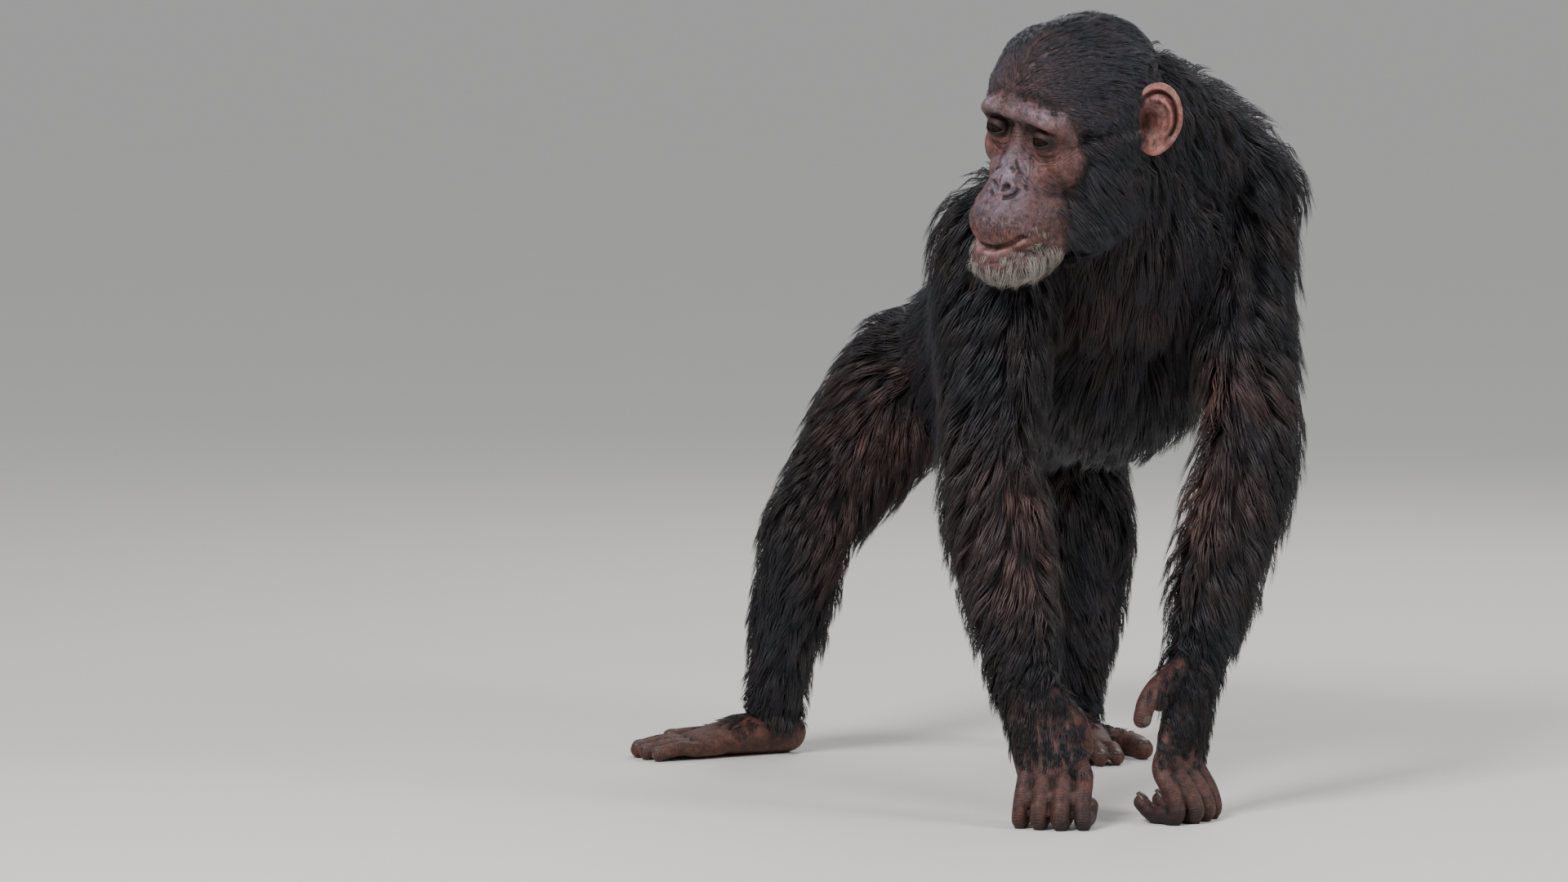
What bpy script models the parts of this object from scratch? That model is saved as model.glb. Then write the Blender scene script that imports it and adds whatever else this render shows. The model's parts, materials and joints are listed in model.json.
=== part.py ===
"""A life-size chimpanzee that stands on its knuckles and soles, its head turned to its right.

Metres, +Z up. The animal faces -Y and its left is +X. The origin is on the floor, under the
middle of the model. The flesh is modelled whole, dressed with locks, and parted by thin cuts.
"""

import math
import random

import bmesh
import bpy
import numpy as np
from mathutils import Matrix, Vector
from mathutils.bvhtree import BVHTree

GAP = 0.0003
CORE_SHARE = 0.45
LEFT, RIGHT = 1, -1
SIDE_NAMES = {LEFT: "left", RIGHT: "right"}

# Joints, each the middle of the joint in metres.
SHOULDER = {LEFT: (0.230, -0.080, 0.552), RIGHT: (0.020, -0.165, 0.524)}
ELBOW = {LEFT: (0.247, -0.200, 0.352), RIGHT: (0.008, -0.250, 0.324)}
WRIST = {LEFT: (0.199, -0.272, 0.144), RIGHT: (0.038, -0.308, 0.132)}
HIP = {LEFT: (0.073, 0.285, 0.362), RIGHT: (-0.056, 0.238, 0.372)}
KNEE = {LEFT: (0.119, 0.105, 0.232), RIGHT: (-0.160, 0.108, 0.230)}
ANKLE = {LEFT: (0.110, 0.218, 0.060), RIGHT: (-0.191, 0.178, 0.058)}
EYE_LINE = (0.033, -0.320, 0.633)
HEAD_TURN = math.radians(-50)
HEAD_NOD = math.radians(15)
HEAD_TILT = math.radians(10)
CM = 0.01
MIDDLE = (-0.0180, -0.0034)


def vec(point):
    return np.array(point, float)


def unit(v):
    v = np.asarray(v, float)
    return v / np.linalg.norm(v)


def along(a, b, share):
    """The point a share of the way from a to b."""
    return vec(a) + (vec(b) - vec(a)) * share


def head_frame():
    """Rotation of the head: local x is its left, y its back and z its crown."""
    turn = Matrix.Rotation(HEAD_TURN, 3, "Z")
    nod = Matrix.Rotation(HEAD_NOD, 3, "X")
    tilt = Matrix.Rotation(HEAD_TILT, 3, "Y")
    return np.array(turn @ nod @ tilt)


HEAD_AXES = head_frame()


def head_point(x, y, z):
    """A place on the head, given in centimetres from the middle of the eye line."""
    return vec(EYE_LINE) + HEAD_AXES @ (vec((x, y, z)) * CM)


# Mesh pieces are pairs of points and faces until they are fused.


def catmull(points, per_span):
    """A smooth row of points through the given ones, a few for each span."""
    p = np.asarray(points, float)
    ends = np.vstack([2 * p[0] - p[1], p, 2 * p[-1] - p[-2]])
    row = []
    for i in range(len(p) - 1):
        a, b, c, d = ends[i : i + 4]
        for t in np.linspace(0, 1, per_span, endpoint=False):
            row.append(
                0.5 * (2 * b + (c - a) * t + (2 * a - 5 * b + 4 * c - d) * t**2
                       + (3 * b - a - 3 * c + d) * t**3)
            )
    return np.array(row + [p[-1]])


def loft(stations, depth_side, around=18, per_span=5, cap_rings=3):
    """A closed limb. Each station is x, y, z, half width and half depth."""
    row = catmull(stations, per_span)
    centres, widths, depths = row[:, :3], row[:, 3], row[:, 4]
    tangents = np.gradient(centres, axis=0)
    rings, middles = [], []
    angles = np.linspace(0, 2 * math.pi, around, endpoint=False)

    def ring(centre, tangent, half_width, half_depth):
        t = unit(tangent)
        deep = unit(vec(depth_side) - np.dot(vec(depth_side), t) * t)
        wide = np.cross(t, deep)
        rings.append(
            centre
            + np.outer(np.cos(angles) * half_width, wide)
            + np.outer(np.sin(angles) * half_depth, deep)
        )

    def cap(centre, tangent, half_width, half_depth, outward):
        steps = [math.pi / 2 * k / (cap_rings + 1) for k in range(1, cap_rings + 1)]
        reach = min(half_width, half_depth)
        t = unit(tangent) * outward
        for phi in steps if outward > 0 else reversed(steps):
            ring(centre + t * reach * math.sin(phi), tangent,
                 half_width * math.cos(phi), half_depth * math.cos(phi))
        middles.append(centre + t * reach)

    cap(centres[0], tangents[0], widths[0], depths[0], -1)
    for centre, tangent, half_width, half_depth in zip(centres, tangents, widths, depths):
        ring(centre, tangent, half_width, half_depth)
    cap(centres[-1], tangents[-1], widths[-1], depths[-1], 1)
    count = len(rings)
    points = np.vstack(rings + [middles[0][None], middles[1][None]])
    faces = []
    for r in range(count - 1):
        for k in range(around):
            n = (k + 1) % around
            faces.append((r * around + k, r * around + n,
                          (r + 1) * around + n, (r + 1) * around + k))
    first, last = count * around, count * around + 1
    for k in range(around):
        n = (k + 1) % around
        faces.append((first, n, k))
        faces.append((last, (count - 1) * around + k, (count - 1) * around + n))
    return points, faces


def ball(centre, radii, axes=None, rows=14, around=22):
    """An ellipsoid with its radii along the given axes."""
    axes = np.eye(3) if axes is None else axes
    points, faces = [(0, 0, 1)], []
    for r in range(1, rows):
        polar = math.pi * r / rows
        for k in range(around):
            turn = 2 * math.pi * k / around
            points.append((math.sin(polar) * math.cos(turn),
                           math.sin(polar) * math.sin(turn), math.cos(polar)))
    points.append((0, 0, -1))
    last = len(points) - 1
    for k in range(around):
        n = (k + 1) % around
        faces.append((0, 1 + k, 1 + n))
        for r in range(rows - 2):
            top, low = 1 + r * around, 1 + (r + 1) * around
            faces.append((top + k, low + k, low + n, top + n))
        bottom = 1 + (rows - 2) * around
        faces.append((last, bottom + n, bottom + k))
    return np.array(points) * vec(radii) @ np.asarray(axes).T + vec(centre), faces


def new_object(name, points, faces):
    mesh = bpy.data.meshes.new(name)
    mesh.from_pydata([tuple(p) for p in points], [], [tuple(f) for f in faces])
    mesh.update()
    obj = bpy.data.objects.new(name, mesh)
    bpy.context.scene.collection.objects.link(obj)
    return obj


def face_outwards(obj):
    work = bmesh.new()
    work.from_mesh(obj.data)
    bmesh.ops.recalc_face_normals(work, faces=work.faces)
    work.to_mesh(obj.data)
    work.free()


def joined(name, shapes):
    """Several closed pieces in one mesh, which still cross each other."""
    points, faces, start = [], [], 0
    for p, f in shapes:
        points.append(np.asarray(p))
        faces += [tuple(i + start for i in face) for face in f]
        start += len(p)
    obj = new_object(name, np.vstack(points), faces)
    face_outwards(obj)
    return obj


def settle(obj):
    """Puts the evaluated mesh in place of the object's mesh and modifiers."""
    graph = bpy.context.evaluated_depsgraph_get()
    mesh = bpy.data.meshes.new_from_object(obj.evaluated_get(graph))
    old = obj.data
    obj.modifiers.clear()
    obj.data = mesh
    bpy.data.meshes.remove(old)
    return obj


def fused(name, shapes, voxel, rounds):
    """One skin over crossing pieces, softened by a few rounds."""
    obj = joined(name, shapes)
    remesh = obj.modifiers.new("Voxels", "REMESH")
    remesh.mode = "VOXEL"
    remesh.voxel_size = voxel
    if rounds:
        soften = obj.modifiers.new("Soften", "SMOOTH")
        soften.factor = 0.5
        soften.iterations = rounds
    return settle(obj)


def points_of(obj):
    co = np.empty(len(obj.data.vertices) * 3, np.float32)
    obj.data.vertices.foreach_get("co", co)
    return co.reshape(-1, 3).astype(float)


def set_points(obj, points):
    obj.data.vertices.foreach_set("co", np.asarray(points, np.float32).ravel())
    obj.data.update()


def normals_of(obj):
    normals = np.empty(len(obj.data.vertices) * 3, np.float32)
    obj.data.vertices.foreach_get("normal", normals)
    return normals.reshape(-1, 3).astype(float)


def thinned(obj, triangles, spared=None):
    """Collapses edges until about this many triangles are left, last of all at spared points."""
    obj.data.calc_loop_triangles()
    ratio = min(1.0, triangles / len(obj.data.loop_triangles))
    collapse = obj.modifiers.new("Thin", "DECIMATE")
    collapse.ratio = ratio
    collapse.use_collapse_triangulate = True
    if spared is not None:
        group = obj.vertex_groups.new(name="Thin")
        for index, kept in enumerate(spared):
            group.add([index], 0.6 if kept else 1.0, "REPLACE")
        collapse.vertex_group = group.name
    settle(obj)
    obj.vertex_groups.clear()
    return obj


def boolean(obj, operation, others):
    """Joins or cuts with a list of closed mesh objects, which are then removed."""
    group = bpy.data.collections.new("Operands")
    for other in others:
        group.objects.link(other)
    change = obj.modifiers.new(operation.title(), "BOOLEAN")
    change.operation = operation
    change.solver = "MANIFOLD"
    change.operand_type = "COLLECTION"
    change.collection = group
    settle(obj)
    for other in list(group.objects):
        bpy.data.objects.remove(other)
    bpy.data.collections.remove(group)
    return obj


# The flesh. Half widths and half depths are in metres, without the coat.

TRUNK = [
    # x, y, z, half width, half depth, coat
    (0.146, -0.165, 0.540, 0.072, 0.066, 0.024),
    (0.132, -0.095, 0.500, 0.102, 0.092, 0.026),
    (0.106, 0.000, 0.462, 0.108, 0.100, 0.026),
    (0.072, 0.105, 0.418, 0.100, 0.104, 0.024),
    (0.034, 0.200, 0.388, 0.092, 0.094, 0.022),
    (0.006, 0.280, 0.372, 0.084, 0.076, 0.018),
    (-0.004, 0.318, 0.364, 0.058, 0.050, 0.014),
]
UPPER_ARM = [(0.00, 0.050, 0.052, 0.024), (0.30, 0.044, 0.046, 0.022),
             (0.65, 0.035, 0.037, 0.020), (1.00, 0.031, 0.033, 0.022)]
FOREARM = [(0.00, 0.031, 0.033, 0.022), (0.22, 0.035, 0.036, 0.020),
           (0.55, 0.031, 0.031, 0.016), (0.85, 0.023, 0.021, 0.012), (1.02, 0.022, 0.018, 0.009)]
THIGH = [(0.00, 0.066, 0.070, 0.016), (0.35, 0.058, 0.062, 0.015),
         (0.70, 0.045, 0.048, 0.015), (1.00, 0.037, 0.038, 0.014)]
SHANK = [(0.00, 0.037, 0.038, 0.014), (0.25, 0.034, 0.039, 0.013),
         (0.60, 0.027, 0.029, 0.012), (0.90, 0.022, 0.023, 0.009), (1.03, 0.022, 0.024, 0.006)]


def limb(start, end, stations, depth_side, cover):
    """A lofted limb between two joints, grown by its share of the coat."""
    rows = [
        (*along(start, end, share), wide + coat * cover, deep + coat * cover)
        for share, wide, deep, coat in stations
    ]
    return loft(rows, depth_side)


def body_shapes(cover):
    """Trunk, neck and limbs down to the wrists and ankles."""
    rows = [(x, y, z, w + coat * cover, d + coat * cover) for x, y, z, w, d, coat in TRUNK]
    shapes = [loft(rows, (0, 0, 1), around=26)]
    nape = head_point(0, 10.5, -2.5)
    throat = head_point(0, 7.2, -4.2)
    shapes.append(loft([
        (*along(nape, throat, 0.5), 0.056 + 0.018 * cover, 0.062 + 0.018 * cover),
        (0.128, -0.190, 0.578, 0.064 + 0.022 * cover, 0.066 + 0.022 * cover),
        (0.138, -0.130, 0.530, 0.080 + 0.026 * cover, 0.078 + 0.026 * cover),
    ], (0, 0.3, 1)))
    shapes.append(loft([
        (*head_point(0, 11.5, 0.0), 0.056 + 0.02 * cover, 0.050 + 0.02 * cover),
        (0.160, -0.165, 0.620, 0.058 + 0.028 * cover, 0.050 + 0.028 * cover),
        (0.166, -0.100, 0.570, 0.075 + 0.030 * cover, 0.052 + 0.030 * cover),
        (0.140, -0.030, 0.525, 0.080 + 0.028 * cover, 0.050 + 0.028 * cover),
    ], (0, 0.3, 1)))
    for side in (LEFT, RIGHT):
        shapes.append(limb(SHOULDER[side], ELBOW[side], UPPER_ARM, (0, -1, 0), cover))
        shapes.append(limb(ELBOW[side], WRIST[side], FOREARM, (0, -1, 0), cover))
        shapes.append(limb(HIP[side], KNEE[side], THIGH, (0, -1, 0.4), cover))
        shapes.append(limb(KNEE[side], ANKLE[side], SHANK, (0, -1, 0), cover))
        inward = along(SHOULDER[side], TRUNK[1][:3], 0.35)
        shapes.append(ball(inward + vec((0, 0.012, 0.004)), vec((0.062, 0.066, 0.060)) + 0.024 * cover))
        shoulder_top = vec(SHOULDER[side]) + vec((-0.012 * side, 0.010, 0.018))
        shapes.append(ball(shoulder_top, vec((0.054, 0.056, 0.050)) + 0.028 * cover))
        buttock = along(HIP[side], TRUNK[5][:3], 0.3)
        shapes.append(ball(buttock + vec((0, 0.012, -0.006)), vec((0.066, 0.070, 0.070)) + 0.016 * cover))
    return shapes


def head_loft(places, around=14):
    """A lofted form on the head. Each place is x, y, z, half width, half depth in centimetres."""
    rows = [(*head_point(*p[:3]), p[3] * CM, p[4] * CM) for p in places]
    return loft(rows, HEAD_AXES @ vec((0.1, -1, 0.15)), around=around)


def head_ball(centre, radii, nod=0.0):
    turned = HEAD_AXES @ np.array(Matrix.Rotation(math.radians(nod), 3, "X"))
    return ball(head_point(*centre), vec(radii) * CM, turned, rows=16, around=24)


EYE_X, EYE_Y, EYE_Z = 2.9, 1.05, 0.0
EYE_RADIUS = 0.0105


def head_shapes(crown_hair):
    """Skull, face and jaws. crown_hair, in centimetres, thickens the haired parts."""
    h = crown_hair
    shapes = [
        head_ball((0, 8.8, 1.4), (6.4 + h, 7.8 + h, 7.0 + h)),
        head_ball((0, 3.8, 3.5), (5.2, 4.3, 3.8)),
        head_ball((0, 3.4, -1.0), (4.8, 3.2, 3.4)),
        head_ball((0, 2.4, -3.9), (4.3, 4.1, 3.0)),
        head_ball((0, 0.5, -5.6), (3.6, 3.6, 2.6)),
        head_ball((0, 1.4, -7.4), (4.7, 6.1, 3.6), 8),
        head_ball((0, -0.9, -8.1), (3.8, 3.6, 2.1), 10),
        head_ball((0, 0.8, -10.7), (3.8, 4.9, 2.2), 6),
        head_ball((0, 8.0, -4.8), (5.4 + h, 5.6 + h, 5.6)),
        head_loft([(0, 1.0, 0.6, 1.0, 0.8), (0, 0.6, -1.0, 1.0, 0.8),
                   (0, -0.7, -2.9, 1.3, 0.9), (0, -1.7, -3.9, 1.3, 0.8)]),
        head_loft([(-5.0, 3.2, 0.8, 0.7, 1.0), (-4.3, 1.4, 2.0, 0.9, 1.0),
                   (-2.7, 0.4, 2.75, 1.1, 1.0), (0, 0.15, 2.6, 1.1, 0.9),
                   (2.7, 0.4, 2.75, 1.1, 1.0), (4.3, 1.4, 2.0, 0.9, 1.0),
                   (5.0, 3.2, 0.8, 0.7, 1.0)]),
    ]
    for s in (LEFT, RIGHT):
        shapes += [
            head_ball((3.3 * s, 4.2, 2.4), (2.6, 3.6, 2.6)),
            head_ball((2.9 * s, 2.2, -0.1), (2.0, 1.8, 2.0)),
            head_ball((3.9 * s, 3.0, -2.2), (1.9, 2.3, 2.4)),
            head_ball((3.9 * s, 6.4, -3.9), (2.5 + h, 4.6, 4.4)),
            head_loft([(4.0 * s, 3.2, -1.4, 1.3, 1.4), (4.9 * s, 5.8, -1.2, 1.4, 1.6),
                       (5.4 * s, 9.0, -0.9, 1.4, 1.6)]),
            head_loft([(2.3 * s, 1.4, -9.9, 2.0, 2.2), (3.8 * s, 5.4, -7.8, 2.2 + h, 3.0),
                       (4.6 * s, 8.6, -4.8, 2.2 + h, 3.3)]),
            head_ball((1.2 * s, -1.55, -3.95), (1.0, 0.85, 0.8)),
            head_ball((EYE_X * s, EYE_Y, EYE_Z), (1.36, 1.34, 1.30)),
        ]
    return shapes


def press(local, normals, line, radius, depth):
    """Moves the front of the face along its normals near a line drawn in local x and z."""
    line = vec(line)
    flat = local[:, [0, 2]]
    nearest = np.full(len(flat), 1e9)
    for a, b in zip(line[:-1], line[1:]):
        run = b - a
        share = np.clip((flat - a) @ run / (run @ run), 0, 1)
        nearest = np.minimum(nearest, np.linalg.norm(flat - (a + share[:, None] * run), axis=1))
    fade = np.clip(1 - (nearest / radius) ** 2, 0, 1) ** 2 * (local[:, 1] < 3.2)
    return local + normals * (fade * depth)[:, None]


MOUTH = [(0, -9.75), (1.3, -9.65), (2.6, -9.2), (3.5, -8.6), (4.0, -8.2)]


def shape_face(obj):
    """Models sockets, nose, nostrils, lips and the mouth line on the softened head."""
    local = (points_of(obj) - vec(EYE_LINE)) @ HEAD_AXES / CM
    normals = normals_of(obj) @ HEAD_AXES
    for s in (LEFT, RIGHT):
        for line, radius, depth in [
            ([(1.35, 0.9), (1.45, -0.9)], 0.95, -0.40),
            ([(1.6, 1.35), (4.4, 1.0)], 0.60, -0.30),
            ([(1.9, -1.55), (4.2, -1.35)], 0.65, -0.22),
            ([(1.7, -1.9), (2.5, -4.8)], 0.85, -0.28),
            ([(1.7, -4.7), (0.4, -5.0)], 0.60, -0.25),
            ([(0.45, -4.35), (0.85, -4.15)], 0.45, -0.55),
        ]:
            local = press(local, normals, [(x * s, z) for x, z in line], radius, depth)
    smile = [(-x, z) for x, z in MOUTH[:0:-1]] + MOUTH
    local = press(local, normals, [(x, z + 0.55) for x, z in smile], 0.65, 0.15)
    local = press(local, normals, [(x, z - 0.55) for x, z in smile], 0.65, 0.18)
    local = press(local, normals, smile, 0.34, -0.42)
    set_points(obj, local * CM @ HEAD_AXES.T + vec(EYE_LINE))


def head_form(voxel, crown_hair, triangles):
    obj = fused("head", head_shapes(crown_hair), voxel, 12)
    shape_face(obj)
    local = (points_of(obj) - vec(EYE_LINE)) @ HEAD_AXES / CM
    return thinned(obj, triangles, local[:, 1] < 3.0)


def finger(places, radius, tip_radius):
    """A bent digit through its joints, narrower towards its tip."""
    last = len(places) - 1
    return loft(
        [(*p, radius + (tip_radius - radius) * i / last, radius + (tip_radius - radius) * i / last)
         for i, p in enumerate(places)],
        (0.31, 0.22, 0.9), around=12, per_span=5)


FINGER = {"index": 0.0092, "middle": 0.0098, "ring": 0.0095, "little": 0.0084}
MIDDLE_PHALANX, LAST_PHALANX = 0.027, 0.018

HANDS = {
    # knuckle row's middle, its run from index to little, the way the back of the hand faces
    LEFT: dict(row=(0.182, -0.308, 0.050), run=(0.66, 0.75, 0.0), back=(0.78, -0.62, 0.0)),
    RIGHT: dict(row=(0.066, -0.352, 0.050), run=(-0.97, 0.22, 0.0), back=(-0.22, -0.97, 0.0)),
}
THUMBS = {
    LEFT: [(0.184, -0.292, 0.138), (0.160, -0.318, 0.122), (0.149, -0.330, 0.107), (0.145, -0.333, 0.092)],
    RIGHT: [(0.058, -0.318, 0.120), (0.083, -0.330, 0.100), (0.092, -0.330, 0.082), (0.094, -0.327, 0.068)],
}


def hand_shapes(side):
    """A hand on its knuckles: palm, four curled fingers and a thumb."""
    hand = HANDS[side]
    row, run, back = vec(hand["row"]), unit(hand["run"]), unit(hand["back"])
    wrist = vec(WRIST[side])
    palm = loft([
        (*along(wrist, row, -0.15), 0.020, 0.018),
        (*along(wrist, row, 0.25), 0.026, 0.018),
        (*along(wrist, row, 0.70), 0.033, 0.016),
        (*along(wrist, row, 1.00), 0.035, 0.013),
    ], back, around=20)
    shapes = [palm]
    steps = zip(FINGER.items(), (-0.027, -0.009, 0.009, 0.026), (0.0, 0.006, 0.004, -0.002))
    for (name, radius), step, reach in steps:
        base = row + run * step + back * 0.001
        spread = run * step * 0.12
        knuckle = vec((*(base + spread + back * (0.020 + reach))[:2], radius))
        bend = knuckle - back * MIDDLE_PHALANX
        bend[2] = radius * 0.97
        tip = bend - back * LAST_PHALANX * 0.7
        tip[2] = radius + LAST_PHALANX * 0.5
        shapes.append(finger([along(wrist, base, 0.8), base, along(base, knuckle, 0.55) + back * 0.004,
                              knuckle, along(knuckle, bend, 0.5), bend, tip], radius, radius * 0.82))
    shapes.append(finger(THUMBS[side], 0.0115, 0.0085))
    return shapes


FEET = {
    # back of the heel, the way the toes point
    LEFT: dict(heel=(0.106, 0.252), toes=(0.10, -1.0)),
    RIGHT: dict(heel=(-0.160, 0.196), toes=(-0.95, -0.31)),
}
TOES = [
    # across the foot from the big toe's side, length of the toe, radius
    (-0.020, 0.046, 0.0090), (-0.005, 0.052, 0.0094), (0.011, 0.049, 0.0090), (0.026, 0.042, 0.0084),
]


def foot_shapes(side):
    """A flat foot: heel, sole, four toes and a big toe set apart like a thumb."""
    foot = FEET[side]
    ahead = unit((*foot["toes"], 0))
    across = np.cross(ahead, (0, 0, 1)) * side
    heel = vec((*foot["heel"], 0.0))
    ankle = vec(ANKLE[side])

    def place(forward, outward, height):
        return heel + ahead * forward + across * outward + vec((0, 0, height))

    shapes = [
        loft([(*place(0.020, 0, 0.021), 0.019, 0.020), (*place(0.050, 0.001, 0.022), 0.023, 0.021),
              (*place(0.085, 0.002, 0.018), 0.029, 0.017), (*place(0.116, 0.003, 0.014), 0.031, 0.012)],
             (0, 0, 1), around=20),
        loft([(*along(KNEE[side], ankle, 0.86), 0.021, 0.022), (*ankle, 0.022, 0.024),
              (*(place(0.034, 0, 0.030)), 0.022, 0.025)], ahead, around=16),
    ]
    for outward, length, radius in TOES:
        shapes.append(finger([
            place(0.096, outward * 0.8, radius + 0.003), place(0.122, outward, radius + 0.002),
            place(0.122 + length * 0.45, outward * 1.12, radius + 0.004),
            place(0.122 + length, outward * 1.16, radius * 0.9)], radius, radius * 0.85))
    shapes.append(finger([
        place(0.050, -0.014, 0.015), place(0.078, -0.036, 0.013), place(0.100, -0.051, 0.012),
        place(0.124, -0.056, 0.0105)], 0.0135, 0.0105))
    return shapes


def flat_underneath(obj, height=0.0):
    """Presses what lies near or under the floor onto one level, as a small flat."""
    points = points_of(obj)
    low = points[:, 2] < height + 0.0016
    points[low, 2] = height
    set_points(obj, points)
    return obj


def ear_relief(share, turn):
    """Height of the ear's face: rolled rim, inner fold, and the hollow over the ear canal."""
    back, up = math.cos(turn) * share, math.sin(turn) * share
    rim = 0.0046 * math.exp(-(((share - 0.93) / 0.10) ** 2)) * (0.55 + 0.45 * math.sin(turn + 0.5))
    fold = 0.0030 * math.exp(-(((share - 0.60) / 0.11) ** 2)) * max(0.0, math.cos(turn - 0.5)) ** 0.5
    hollow = -0.0075 * math.exp(-((back + 0.22) ** 2 + (up + 0.12) ** 2) / 0.16)
    tragus = 0.0035 * math.exp(-((back + 0.78) ** 2 + (up + 0.16) ** 2) / 0.03)
    return rim + fold + hollow + tragus


EAR_HALF_HIGH, EAR_HALF_WIDE, EAR_THICK = 0.0345, 0.0245, 0.0034


def ear_form(side, rings, turns):
    """An upright, rounded ear. Its face looks out and forward; its root meets the skull."""
    toward_face = unit((0.62 * side, -0.78, 0.0))
    outward = unit((0.78 * side, 0.62, 0.0))
    up = vec((0.0, 0.10, 1.0))
    middle = vec((7.4 * side, 10.4, -0.2)) * CM
    points, faces = [], []

    def lay(share, turn, lift):
        lobe = 1.0 - 0.22 * max(0.0, -math.sin(turn)) ** 2
        across = math.cos(turn) * EAR_HALF_WIDE * share * lobe
        place = outward * across + up * (math.sin(turn) * EAR_HALF_HIGH * share) + toward_face * lift
        points.append(vec(EYE_LINE) + HEAD_AXES @ (middle + place))

    shares = [i / rings for i in range(1, rings + 1)]
    for share in shares:
        for k in range(turns):
            turn = 2 * math.pi * k / turns
            lay(share, turn, ear_relief(share, turn))
    for share in (1.0, 0.72, 0.36):
        for k in range(turns):
            turn = 2 * math.pi * k / turns
            lay(share - 0.02, turn, min(0.0, ear_relief(share, turn)) - EAR_THICK - 0.003 * (1 - share))
    lay(0, 0, ear_relief(0, 0))
    lay(0, 0, ear_relief(0, 0) - EAR_THICK)
    count = rings + 3
    for r in range(count - 1):
        for k in range(turns):
            n = (k + 1) % turns
            faces.append((r * turns + k, r * turns + n, (r + 1) * turns + n, (r + 1) * turns + k))
    for k in range(turns):
        n = (k + 1) % turns
        faces.append((count * turns, n, k))
        faces.append((count * turns + 1, (count - 1) * turns + k, (count - 1) * turns + n))
    obj = new_object("ear_" + SIDE_NAMES[side], points, faces)
    face_outwards(obj)
    return obj


def swell(obj, amount):
    """Grows a mesh along its normals, to cut a neighbour clear."""
    set_points(obj, points_of(obj) + normals_of(obj) * amount)
    return obj


def copied(obj):
    return new_object("copy", points_of(obj), [tuple(p.vertices) for p in obj.data.polygons])


def eye_cutter(side):
    """The slit between the lids, a bent almond carried forward from inside the eye."""
    half_wide, half_high, rows, around = 1.12, 0.40, (1.0, -0.6), 20
    points, faces = [], []
    for y in rows:
        for k in range(around):
            turn = 2 * math.pi * k / around
            across = math.cos(turn) * half_wide
            rise = math.sin(turn) * half_high * (1.0 if math.sin(turn) > 0 else 0.8)
            points.append(head_point(EYE_X * side + across * side, y + 0.12 * across,
                                     EYE_Z - 0.12 + rise + 0.10 * across))
    for k in range(around):
        n = (k + 1) % around
        faces.append((k, n, around + n, around + k))
    faces += [tuple(range(around)), tuple(range(2 * around - 1, around - 1, -1))]
    obj = new_object("slit", points, faces)
    face_outwards(obj)
    return obj


def disc(centre, normal, radius, around=32):
    """A thin round blade."""
    n = unit(normal)
    side = unit(np.cross(n, (0.31, 0.17, 0.93)))
    other = np.cross(n, side)
    points, faces = [], []
    for lift in (-GAP / 2, GAP / 2):
        for k in range(around):
            a = 2 * math.pi * k / around
            points.append(vec(centre) + n * lift + (side * math.cos(a) + other * math.sin(a)) * radius)
    for k in range(around):
        m = (k + 1) % around
        faces.append((k, m, around + m, around + k))
    faces += [tuple(range(around)), tuple(range(2 * around - 1, around - 1, -1))]
    obj = new_object("blade", points, faces)
    face_outwards(obj)
    return obj


# Where the body is parted: middle, normal and radius of each blade.
CUTS = [
    ((0.133, -0.169, 0.571), (-0.03, -0.69, 0.72), 0.190),
    ((0.098, 0.025, 0.452), (-0.29, 0.88, -0.37), 0.180),
    ((0.036, 0.149, 0.395), (-0.10, 0.85, -0.51), 0.140),
    ((0.222, -0.099, 0.490), (0.95, -0.16, -0.25), 0.170),
    ((0.024, -0.142, 0.466), (-0.72, -0.39, -0.57), 0.140),
    ((0.098, 0.219, 0.307), (0.50, 0.12, -0.86), 0.165),
    ((-0.067, 0.222, 0.336), (-0.76, -0.18, -0.62), 0.115),
]


def limb_cuts():
    """Blades across the elbows and knees."""
    cuts = []
    for side in (LEFT, RIGHT):
        cuts.append((ELBOW[side], vec(WRIST[side]) - vec(SHOULDER[side]), 0.068))
        cuts.append((KNEE[side], vec(ANKLE[side]) - vec(HIP[side]), 0.078))
    return cuts


def seeds():
    """A place inside each part of the body, to name it by."""
    inside = {
        "neck": (0.139, -0.187, 0.605), "chest": (0.125, -0.075, 0.490),
        "belly": (0.080, 0.085, 0.425), "pelvis": (0.012, 0.262, 0.376),
    }
    for side in (LEFT, RIGHT):
        name = SIDE_NAMES[side]
        inside["upper_arm_" + name] = along(SHOULDER[side], ELBOW[side], 0.6)
        inside["forearm_" + name] = along(ELBOW[side], WRIST[side], 0.5)
        inside["thigh_" + name] = along(HIP[side], KNEE[side], 0.6)
        inside["shank_" + name] = along(KNEE[side], ANKLE[side], 0.5)
    return inside


def loose_parts(obj):
    """Splits an object into its closed surfaces and returns them, largest first."""
    for other in bpy.context.selected_objects:
        other.select_set(False)
    before = set(bpy.data.objects)
    obj.select_set(True)
    bpy.context.view_layer.objects.active = obj
    bpy.ops.mesh.separate(type="LOOSE")
    parts = [obj] + [o for o in bpy.data.objects if o not in before]
    return sorted(parts, key=volume, reverse=True)


def volume(obj):
    work = bmesh.new()
    work.from_mesh(obj.data)
    size = abs(work.calc_volume())
    work.free()
    return size


def largest(obj):
    """Keeps only the largest closed surface."""
    name = obj.name
    parts = loose_parts(obj)
    for scrap in parts[1:]:
        bpy.data.objects.remove(scrap)
    parts[0].name = name
    return parts[0]


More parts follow.
